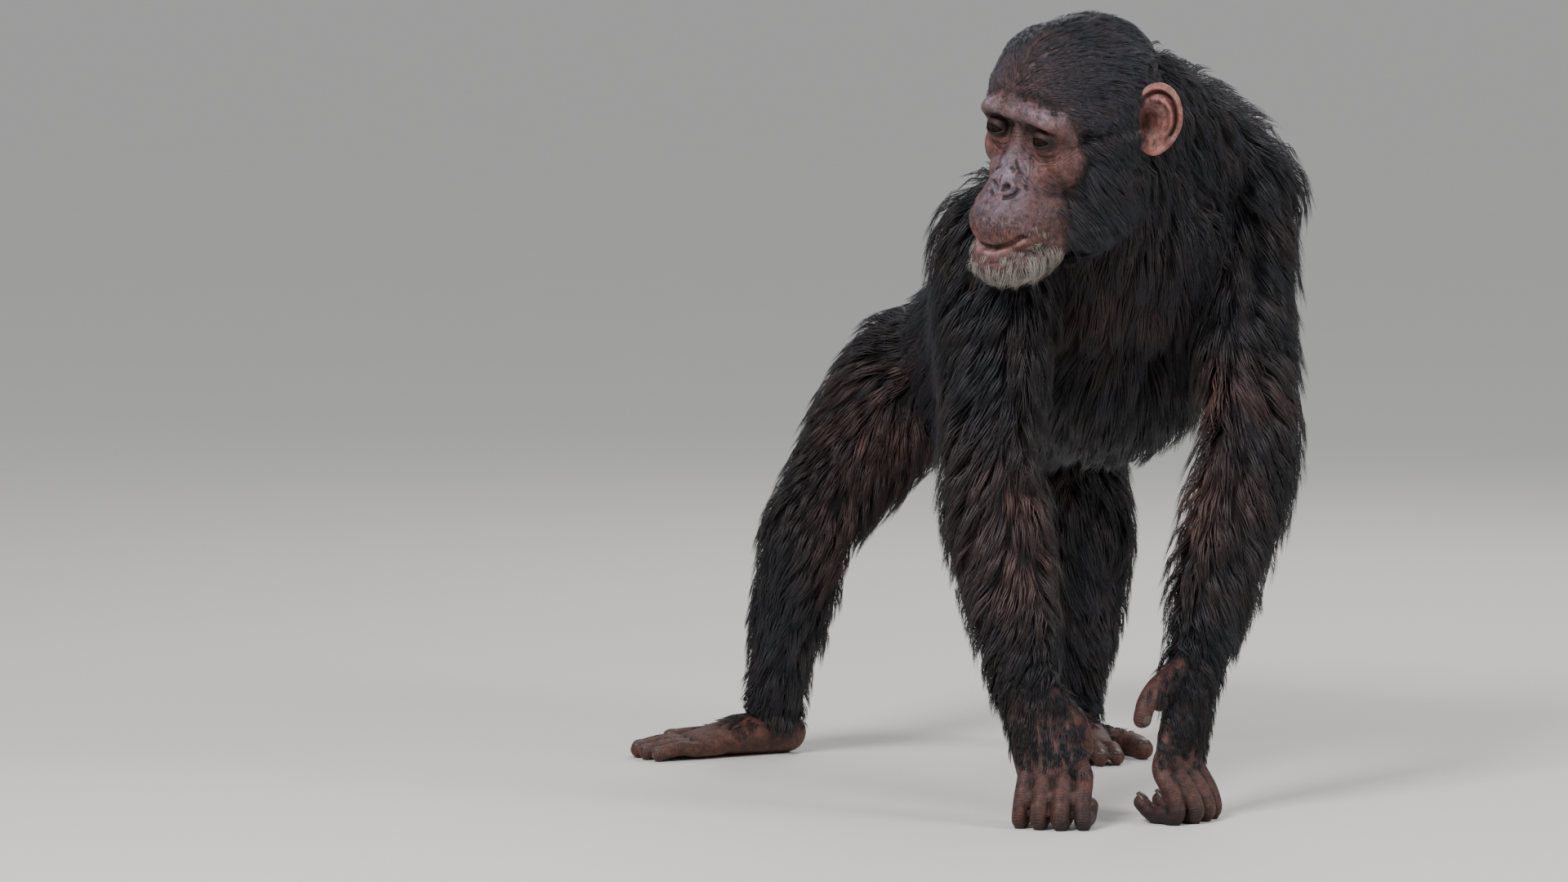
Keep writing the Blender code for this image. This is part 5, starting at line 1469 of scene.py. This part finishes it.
class CoatSettings(bpy.types.PropertyGroup):
    tufts_per_m2: FloatProperty(
        name="Tufts", description="Tufts on each square metre of skin", default=14000, min=100, max=60000)
    length: FloatProperty(
        name="Length", description="Share of the usual length of the hair", subtype="FACTOR",
        default=1.0, min=0.2, max=1.5)
    lift: FloatProperty(
        name="Lift", description="Share of the coat's depth that the tips stand off", subtype="FACTOR",
        default=0.9, min=0.1, max=1.5)
    black: FloatVectorProperty(
        name="Black", description="Main colour of the coat", subtype="COLOR", size=3, min=0, max=1,
        default=linear("0f0d11"))
    brown: FloatVectorProperty(
        name="Brown", description="Thinner, bleached hair", subtype="COLOR", size=3, min=0, max=1,
        default=linear("523830"))
    white: FloatVectorProperty(
        name="Beard", description="Short hair of the chin", subtype="COLOR", size=3, min=0, max=1,
        default=linear("8b837c"))
    seed: IntProperty(name="Seed", description="Seed of the tufts' places", default=1, min=0)


class StageSettings(bpy.types.PropertyGroup):
    floor_colour: FloatVectorProperty(
        name="Floor", description="Colour of the plain floor", subtype="COLOR", size=3, min=0, max=1,
        default=linear("d8d5cf"))
    key_power: FloatProperty(
        name="Key light", description="Power of the large soft light", unit="POWER", default=100, min=0)


class CHIMPANZEE_OT_skin(bpy.types.Operator):
    """Builds one skin over trunk, limbs, head, ears, hands and feet"""

    bl_idname = "chimpanzee.skin"
    bl_label = "Skin"

    def execute(self, context):
        settings = context.scene.chimpanzee_skin
        skin = thinned(fused("skin", body_shapes(), 0.0048, 18), 32000)
        others = [head_skin(88000)]
        for side in (LEFT, RIGHT):
            hand = fused("hand", hand_shapes(side), 0.0015, 5)
            others.append(flat_underneath(thinned(hand, 10500)))
            foot = fused("foot", foot_shapes(side), 0.0018, 4)
            others.append(flat_underneath(thinned(foot, 9500)))
        boolean(skin, "UNION", others)
        ground = skin.data.copy()
        ground.name = GROUND
        give(ground, "up", normals_of(skin), "FLOAT_VECTOR")
        boolean(skin, "UNION", [ear_form(LEFT), ear_form(RIGHT)])
        tint = skin_tint(skin, settings)
        phase, depth = fold_field(skin)
        give(skin.data, "tint", np.column_stack([tint, np.ones(len(tint))]), "FLOAT_COLOR")
        give(skin.data, "fold_phase", phase)
        give(skin.data, "fold_depth", depth)
        flesh = [name for name in frame["nodes"] if not name.startswith("eye_")]
        shown(skin, "skin", skin_material(settings), flesh)
        return {"FINISHED"}


class CHIMPANZEE_OT_eyes(bpy.types.Operator):
    """Builds both eyeballs, each with a clear front over its iris"""

    bl_idname = "chimpanzee.eyes"
    bl_label = "Eyes"

    def execute(self, context):
        settings = context.scene.chimpanzee_eyes
        gaze = unit((0.22, -1.0, -0.10))
        material = eye_material(settings)
        for side in (LEFT, RIGHT):
            side_up = unit(np.cross(gaze, (1, 0, 0)))
            axes = HEAD_AXES @ np.column_stack([np.cross(side_up, -gaze), side_up, -gaze])
            centre = head_point(EYE_X * side, EYE_Y, EYE_Z)
            points, faces = ball((0, 0, 0), [settings.radius] * 3, rows=40, around=48)
            off = np.linalg.norm(points[:, :2], axis=1) / settings.radius
            front = points[:, 2] < 0
            points[:, 2] -= settings.radius * 0.07 * front * np.clip(1 - (off / 0.58) ** 2, 0, 1)
            eye = new_object("eye", points @ axes.T + centre, faces)
            face_outwards(eye)
            give(eye.data, "off_axis", np.where(front, off, 2.0))
            shown(eye, "eyeball_" + SIDE_NAMES[side], material, ["eye_" + SIDE_NAMES[side]])
        return {"FINISHED"}


def eye_material(settings):
    """A wet eyeball: brown sclera, a striped iris and a black pupil under a clear coat."""
    material, tree, shader = new_material("Wet eye")
    off = add(tree, "ShaderNodeAttribute", attribute_name="off_axis").outputs["Fac"]
    place = add(tree, "ShaderNodeTexCoord").outputs["Object"]
    streak = add(tree, "ShaderNodeTexNoise", {"Vector": place, "Scale": 900.0, "Detail": 2.0})
    iris = [c for c in settings.iris_colour]
    lit = add(tree, "ShaderNodeMix", {"Factor": streak.outputs["Fac"], "A": (*[c * 0.28 for c in iris], 1),
                                      "B": (*iris, 1)}, data_type="RGBA")
    pupil = add(tree, "ShaderNodeMapRange", {"Value": off, "From Min": 0.20, "From Max": 0.25})
    middle = add(tree, "ShaderNodeMix", {"Factor": pupil.outputs[0], "A": (0.002, 0.002, 0.002, 1),
                                         "B": lit.outputs["Result"]}, data_type="RGBA")
    edge = add(tree, "ShaderNodeMapRange", {"Value": off, "From Min": 0.40, "From Max": 0.58})
    whole = add(tree, "ShaderNodeMix", {"Factor": edge.outputs[0], "A": middle.outputs["Result"],
                                        "B": (*linear("0e0807"), 1)}, data_type="RGBA")
    tree.links.new(whole.outputs["Result"], shader.inputs["Base Color"])
    shader.inputs["Roughness"].default_value = 0.60
    shader.inputs["Specular IOR Level"].default_value = 0.05
    shader.inputs["Coat Weight"].default_value = 0.20
    shader.inputs["Coat IOR"].default_value = 1.34
    return material


def nail_form(tip, back, across, radius):
    """A thin curved nail, its root and sides sunk in the flesh and its free edge rounded."""
    back, across = unit(back), unit(across)
    ahead = np.cross(across, back)
    points, faces = [], []
    rows, columns = 7, 11
    for under in (0.0, 0.0009):
        for r in range(rows):
            for c in range(columns):
                sideways = 2 * c / (columns - 1) - 1
                turn = math.radians(50) * sideways * (0.80 + 0.20 * r / (rows - 1))
                run = -1.00 + (1.72 - 0.30 * sideways ** 2) * r / (rows - 1)
                over_tip = math.cos(math.asin(min(0.95, max(0.0, run))))
                sunk = 0.0009 * sideways ** 4 + 0.0009 * max(0.0, 1 - 2.5 * r / (rows - 1))
                out = radius * over_tip + 0.0004 - sunk - under
                points.append(tip + ahead * run * radius
                              + (back * math.cos(turn) + across * math.sin(turn)) * out)
    sheet = rows * columns

    def at(r, c, low=0):
        return r * columns + c + low * sheet

    for r in range(rows - 1):
        for c in range(columns - 1):
            faces.append((at(r, c), at(r, c + 1), at(r + 1, c + 1), at(r + 1, c)))
            faces.append((at(r, c, 1), at(r + 1, c, 1), at(r + 1, c + 1, 1), at(r, c + 1, 1)))
    rim = [(0, c) for c in range(columns)] + [(r, columns - 1) for r in range(1, rows)]
    rim += [(rows - 1, c) for c in range(columns - 2, -1, -1)] + [(r, 0) for r in range(rows - 2, 0, -1)]
    for (r, c), (s, d) in zip(rim, rim[1:] + rim[:1]):
        faces.append((at(r, c), at(r, c, 1), at(s, d, 1), at(s, d)))
    return points, faces


class CHIMPANZEE_OT_nails(bpy.types.Operator):
    """Builds the nails of the fingers, thumbs and toes"""

    bl_idname = "chimpanzee.nails"
    bl_label = "Nails"

    def execute(self, context):
        material, tree, shader = new_material("Dark horn")
        place = add(tree, "ShaderNodeTexCoord").outputs["Object"]
        # Lines of growth 0.5 mm apart in dark horn with a soft polish.
        lines = add(tree, "ShaderNodeTexNoise", {"Vector": place, "Scale": 900.0, "Detail": 2.0})
        shade = add(tree, "ShaderNodeMix", {"Factor": lines.outputs["Fac"], "A": (*linear("2b201d"), 1),
                                            "B": (*linear("58453c"), 1)}, data_type="RGBA")
        tree.links.new(shade.outputs["Result"], shader.inputs["Base Color"])
        shader.inputs["Roughness"].default_value = 0.42
        for side in (LEFT, RIGHT):
            shapes = []
            back = unit(HANDS[side]["back"])
            run = unit(HANDS[side]["run"])
            for places, radius in finger_bones(side):
                ahead = unit(places[-1] - places[-2])
                shapes.append(nail_form(places[-1], np.cross(run, ahead) * side, run, radius * 0.82))
            tip, before = vec(THUMBS[side][-1]), vec(THUMBS[side][-2])
            ahead = unit(tip - before)
            outside = unit(back - ahead * np.dot(back, ahead))
            shapes.append(nail_form(tip, outside, np.cross(outside, ahead), 0.0085))
            for places, _, radius in toe_bones(side):
                ahead = unit(places[-1] - places[-2])
                upward = unit(vec((0, 0, 1)) - ahead * ahead[2])
                shapes.append(nail_form(places[-1], upward, np.cross(upward, ahead), radius))
            shown(joined("nails", shapes), "nails_" + SIDE_NAMES[side], material)
        return {"FINISHED"}


def black_hair(settings, name, painted_sky_light=1.0, sheen=0.07):
    """Coarse black hair, its tips painted paler where it is short, as painted light from the sky."""
    tip = [painted_sky_light * c for c in settings.black]
    return hair_material(name, linear("060506"), tip, settings.brown, 0.56, sheen)


class CHIMPANZEE_OT_coat(bpy.types.Operator):
    """Grows the coat of the neck, trunk and limbs"""

    bl_idname = "chimpanzee.coat"
    bl_label = "Coat of the body"

    def execute(self, context):
        settings = context.scene.chimpanzee_coat
        base = fused("base", body_shapes(), 0.006, 14)
        points, normals = points_of(base), normals_of(base)
        row, lie, length, depth = coat_of_body(points)
        on_face = head_local(points)
        haired = 1 - smooth(1.0, 0.8, np.linalg.norm((on_face - vec((0, 7, -2))) / vec((6.6, 9.0, 8.6)), axis=1))
        for side in (LEFT, RIGHT):
            over_ear = np.linalg.norm((on_face - vec((5.6 * side, 10.4, 2.8))) / vec((3.8, 3.2, 4.8)), axis=1)
            haired = haired * smooth(0.90, 1.15, over_ear)
            haired = haired * (1 - smooth(0.97, 1.04, share_along(points, ELBOW[side], WRIST[side]))
                               * smooth(0.06, 0.04, np.linalg.norm(points - vec(WRIST[side]), axis=1)))
        under = normals[:, 2] < -0.35
        clothed(base, haired * np.where(under, 0.85, 1.0), lie, length, depth)
        pieces = np.array([r[0] for r in coat_rows()])[row]
        for upper, lower in (("shoulders", "chest"), ("back", "belly")):
            pieces = np.where((pieces == upper) & under, lower, pieces)
        piece_of_face = of_faces(base, pieces)
        tufts = tuft_patterns(9, 0.00105, 0.0055)
        material = black_hair(settings, "Black hair")
        for index, piece in enumerate(sorted(set(pieces))):
            grow(base, piece_of_face == piece, "coat_" + piece, tufts, material, settings, settings.seed + index)
        clear_away([*tufts.objects, base], tufts)
        return {"FINISHED"}


class CHIMPANZEE_OT_hands_and_feet(bpy.types.Operator):
    """Grows the short coat on the backs of the hands and the tops of the feet"""

    bl_idname = "chimpanzee.hands_and_feet"
    bl_label = "Hair of hands and feet"

    def execute(self, context):
        settings = context.scene.chimpanzee_coat
        tufts = tuft_patterns(7, 0.0006, 0.0034)
        material = black_hair(settings, "Short black hair")
        dense = settings.tufts_per_m2 * 3.2
        for index, side in enumerate((LEFT, RIGHT)):
            for name, shapes, field in (("hand_", hand_shapes, coat_of_hand), ("foot_", foot_shapes, coat_of_foot)):
                base = fused("base", shapes(side), 0.0028, 3)
                clothed(base, *field(points_of(base), normals_of(base), side))
                everywhere = np.ones(len(base.data.polygons), bool)
                grow(base, everywhere, "hair_" + name + SIDE_NAMES[side], tufts, material, settings,
                     settings.seed + 30 + index, **{"Tufts per m2": dense, "Root depth": 0.0005, "Sag": 0.0})
                clear_away([base])
        clear_away(list(tufts.objects), tufts)
        return {"FINISHED"}


class CHIMPANZEE_OT_head_hair(bpy.types.Operator):
    """Grows the hair of the crown, cheeks and nape"""

    bl_idname = "chimpanzee.head_hair"
    bl_label = "Hair of the head"

    def execute(self, context):
        settings = context.scene.chimpanzee_coat
        base = fused("base", head_shapes(), 0.003, 10)
        local = head_local(points_of(base))
        clothed(base, *coat_of_head(points_of(base)))
        on_crown = of_faces(base, (local[:, 2] > 1.2) & (local[:, 1] < 12.5))
        material = black_hair(settings, "Black hair of the head")
        crown = tuft_patterns(9, 0.0006, 0.0032)
        # Its tips are painted paler, as painted light from the sky on the crown.
        short = black_hair(settings, "Short black hair of the crown", 2.2, 0.13)
        grow(base, on_crown, "hair_crown", crown, short, settings, settings.seed + 40,
             **{"Tufts per m2": settings.tufts_per_m2 * 4.0, "Root depth": 0.0005, "Sway": 0.12, "Sag": 0.0})
        long = tuft_patterns(9, 0.0008, 0.0044)
        grow(base, ~on_crown, "hair_cheeks", long, material, settings, settings.seed + 41,
             **{"Tufts per m2": settings.tufts_per_m2 * 2.4, "Root depth": 0.0005, "Sag": 0.08})
        clear_away([*crown.objects, *long.objects, base], crown)
        bpy.data.collections.remove(long)
        return {"FINISHED"}


class CHIMPANZEE_OT_beard(bpy.types.Operator):
    """Grows the white beard, the hairs round the mouth and the stubble of the face"""

    bl_idname = "chimpanzee.beard"
    bl_label = "Beard and stubble"

    def execute(self, context):
        settings = context.scene.chimpanzee_coat
        white = hair_material("White hair", settings.white, [c * 1.15 for c in settings.white],
                              settings.white, 0.5, 0.0)
        dark = hair_material("Stubble", linear("140e0e"), linear("1d1514"), settings.brown, 0.5, 0.0)
        for name, field, pattern, material, density in (
            ("beard", beard_of_head, (7, 0.00033, 0.0036), white, 44000),
            ("whiskers", whiskers_of_head, (3, 0.00018, 0.0016), white, 70000),
            ("stubble", stubble_of_head, (3, 0.00022, 0.0040), dark, 120000),
        ):
            base = fused("base", head_shapes(), 0.003, 10)
            clothed(base, *field(points_of(base)))
            base.data.attributes["brown"].data.foreach_set("value", np.zeros(len(base.data.vertices)))
            near_front = of_faces(base, head_local(points_of(base))[:, 1] < 5.5)
            tufts = tuft_patterns(*pattern, (0.0, 0.34, 0.68, 1.0))
            grow(base, near_front, "hair_" + name, tufts, material, settings, settings.seed + 50,
                 **{"Tufts per m2": density, "Root depth": 0.0003, "Sway": 0.34, "Sag": 0.08, "Cling": 0.35})
            clear_away([*tufts.objects, base], tufts)
        return {"FINISHED"}


class CHIMPANZEE_OT_stage(bpy.types.Operator):
    """Sets the floor, the soft lights and the camera"""

    bl_idname = "chimpanzee.stage"
    bl_label = "Stage"

    def execute(self, context):
        settings = context.scene.chimpanzee_stage
        scene = context.scene
        corners = [(x * FLOOR, y * FLOOR, 0) for x, y in ((-1, -1), (1, -1), (1, 1), (-1, 1))]
        floor = new_object("floor", corners, [(0, 1, 2, 3)])
        material, tree, shader = new_material("Matt floor")
        place = add(tree, "ShaderNodeTexCoord").outputs["Object"]
        fine = add(tree, "ShaderNodeTexNoise", {"Vector": place, "Scale": 3.0, "Detail": 2.0})
        pale = add(tree, "ShaderNodeMix", {"Factor": fine.outputs["Fac"],
                                           "A": (*[c * 0.97 for c in settings.floor_colour], 1),
                                           "B": (*settings.floor_colour, 1)}, data_type="RGBA")
        tree.links.new(pale.outputs["Result"], shader.inputs["Base Color"])
        shader.inputs["Roughness"].default_value = 0.85
        floor.data.materials.append(material)
        world = bpy.data.worlds.new("Studio")
        scene.world = world
        world.use_nodes = True
        background = world.node_tree.nodes["Background"]
        background.inputs["Color"].default_value = (*linear("eef1f6"), 1)
        background.inputs["Strength"].default_value = 0.62
        for name, place, size, power in (
            ("Key light", (-1.2, -2.2, 2.4), 0.9, settings.key_power),
            ("Fill light", (2.4, -1.4, 1.8), 0.9, settings.key_power * 0.40),
            ("Back light", (0.8, 2.2, 2.2), 1.4, settings.key_power * 0.28),
        ):
            light = bpy.data.lights.new(name, "AREA")
            light.energy = power
            light.size = size
            lamp = bpy.data.objects.new(name, light)
            lamp.location = place
            lamp.rotation_mode = "QUATERNION"
            lamp.rotation_quaternion = (Vector(place) - Vector((0, 0, 0.4))).to_track_quat("Z", "Y")
            scene.collection.objects.link(lamp)
        add_camera(scene)
        return {"FINISHED"}


CAMERA_DISTANCE, LENS, SENSOR = 6.0, 150.0, 36.0
FLOOR = 120.0
CAMERA_HEIGHT = math.radians(4.5)
METRES_PER_PIXEL = 0.00075


def add_camera(scene):
    """A long lens at the photograph's height, framed as the photograph is."""
    back = Vector((0, -math.cos(CAMERA_HEIGHT), math.sin(CAMERA_HEIGHT)))
    up = Vector((0, math.sin(CAMERA_HEIGHT), math.cos(CAMERA_HEIGHT)))
    fixed = Vector((0.0180, -0.3466, 0))
    centre = fixed + Vector(((960 - 1203) * METRES_PER_PIXEL, 0, 0)) + up * ((1012 - 540) * METRES_PER_PIXEL)
    camera = bpy.data.objects.new("Camera", bpy.data.cameras.new("Camera"))
    camera.data.lens = LENS
    camera.data.sensor_width = SENSOR
    camera.location = centre + back * CAMERA_DISTANCE
    camera.rotation_mode = "QUATERNION"
    camera.rotation_quaternion = (-back).to_track_quat("-Z", "Y")
    scene.collection.objects.link(camera)
    scene.camera = camera


GROUPS = (
    ("chimpanzee_skin", SkinSettings), ("chimpanzee_eyes", EyeSettings),
    ("chimpanzee_coat", CoatSettings), ("chimpanzee_stage", StageSettings),
)
OPERATORS = (
    CHIMPANZEE_OT_skin, CHIMPANZEE_OT_eyes, CHIMPANZEE_OT_nails, CHIMPANZEE_OT_coat,
    CHIMPANZEE_OT_hands_and_feet, CHIMPANZEE_OT_head_hair, CHIMPANZEE_OT_beard, CHIMPANZEE_OT_stage,
)


class CHIMPANZEE_PT_panel(bpy.types.Panel):
    """Lists the pieces of the chimpanzee and their settings"""

    bl_idname = "CHIMPANZEE_PT_panel"
    bl_label = "Chimpanzee"
    bl_space_type = "VIEW_3D"
    bl_region_type = "UI"
    bl_category = "Chimpanzee"

    def draw(self, context):
        for name, _ in GROUPS:
            box = self.layout.box()
            group = getattr(context.scene, name)
            for prop in group.bl_rna.properties:
                if prop.identifier not in ("rna_type", "name"):
                    box.prop(group, prop.identifier)
        for operator in OPERATORS:
            self.layout.operator(operator.bl_idname)


def register():
    for name, group in GROUPS:
        bpy.utils.register_class(group)
        setattr(bpy.types.Scene, name, PointerProperty(type=group))
    for operator in OPERATORS:
        bpy.utils.register_class(operator)
    bpy.utils.register_class(CHIMPANZEE_PT_panel)


def unregister():
    bpy.utils.unregister_class(CHIMPANZEE_PT_panel)
    for operator in reversed(OPERATORS):
        bpy.utils.unregister_class(operator)
    for name, group in reversed(GROUPS):
        delattr(bpy.types.Scene, name)
        bpy.utils.unregister_class(group)


def main():
    register()
    bpy.ops.chimpanzee.stage()
    bpy.ops.chimpanzee.skin()
    bpy.ops.chimpanzee.eyes()
    bpy.ops.chimpanzee.nails()
    bpy.ops.chimpanzee.coat()
    bpy.ops.chimpanzee.hands_and_feet()
    bpy.ops.chimpanzee.head_hair()
    bpy.ops.chimpanzee.beard()


if __name__ == "__main__":
    main()
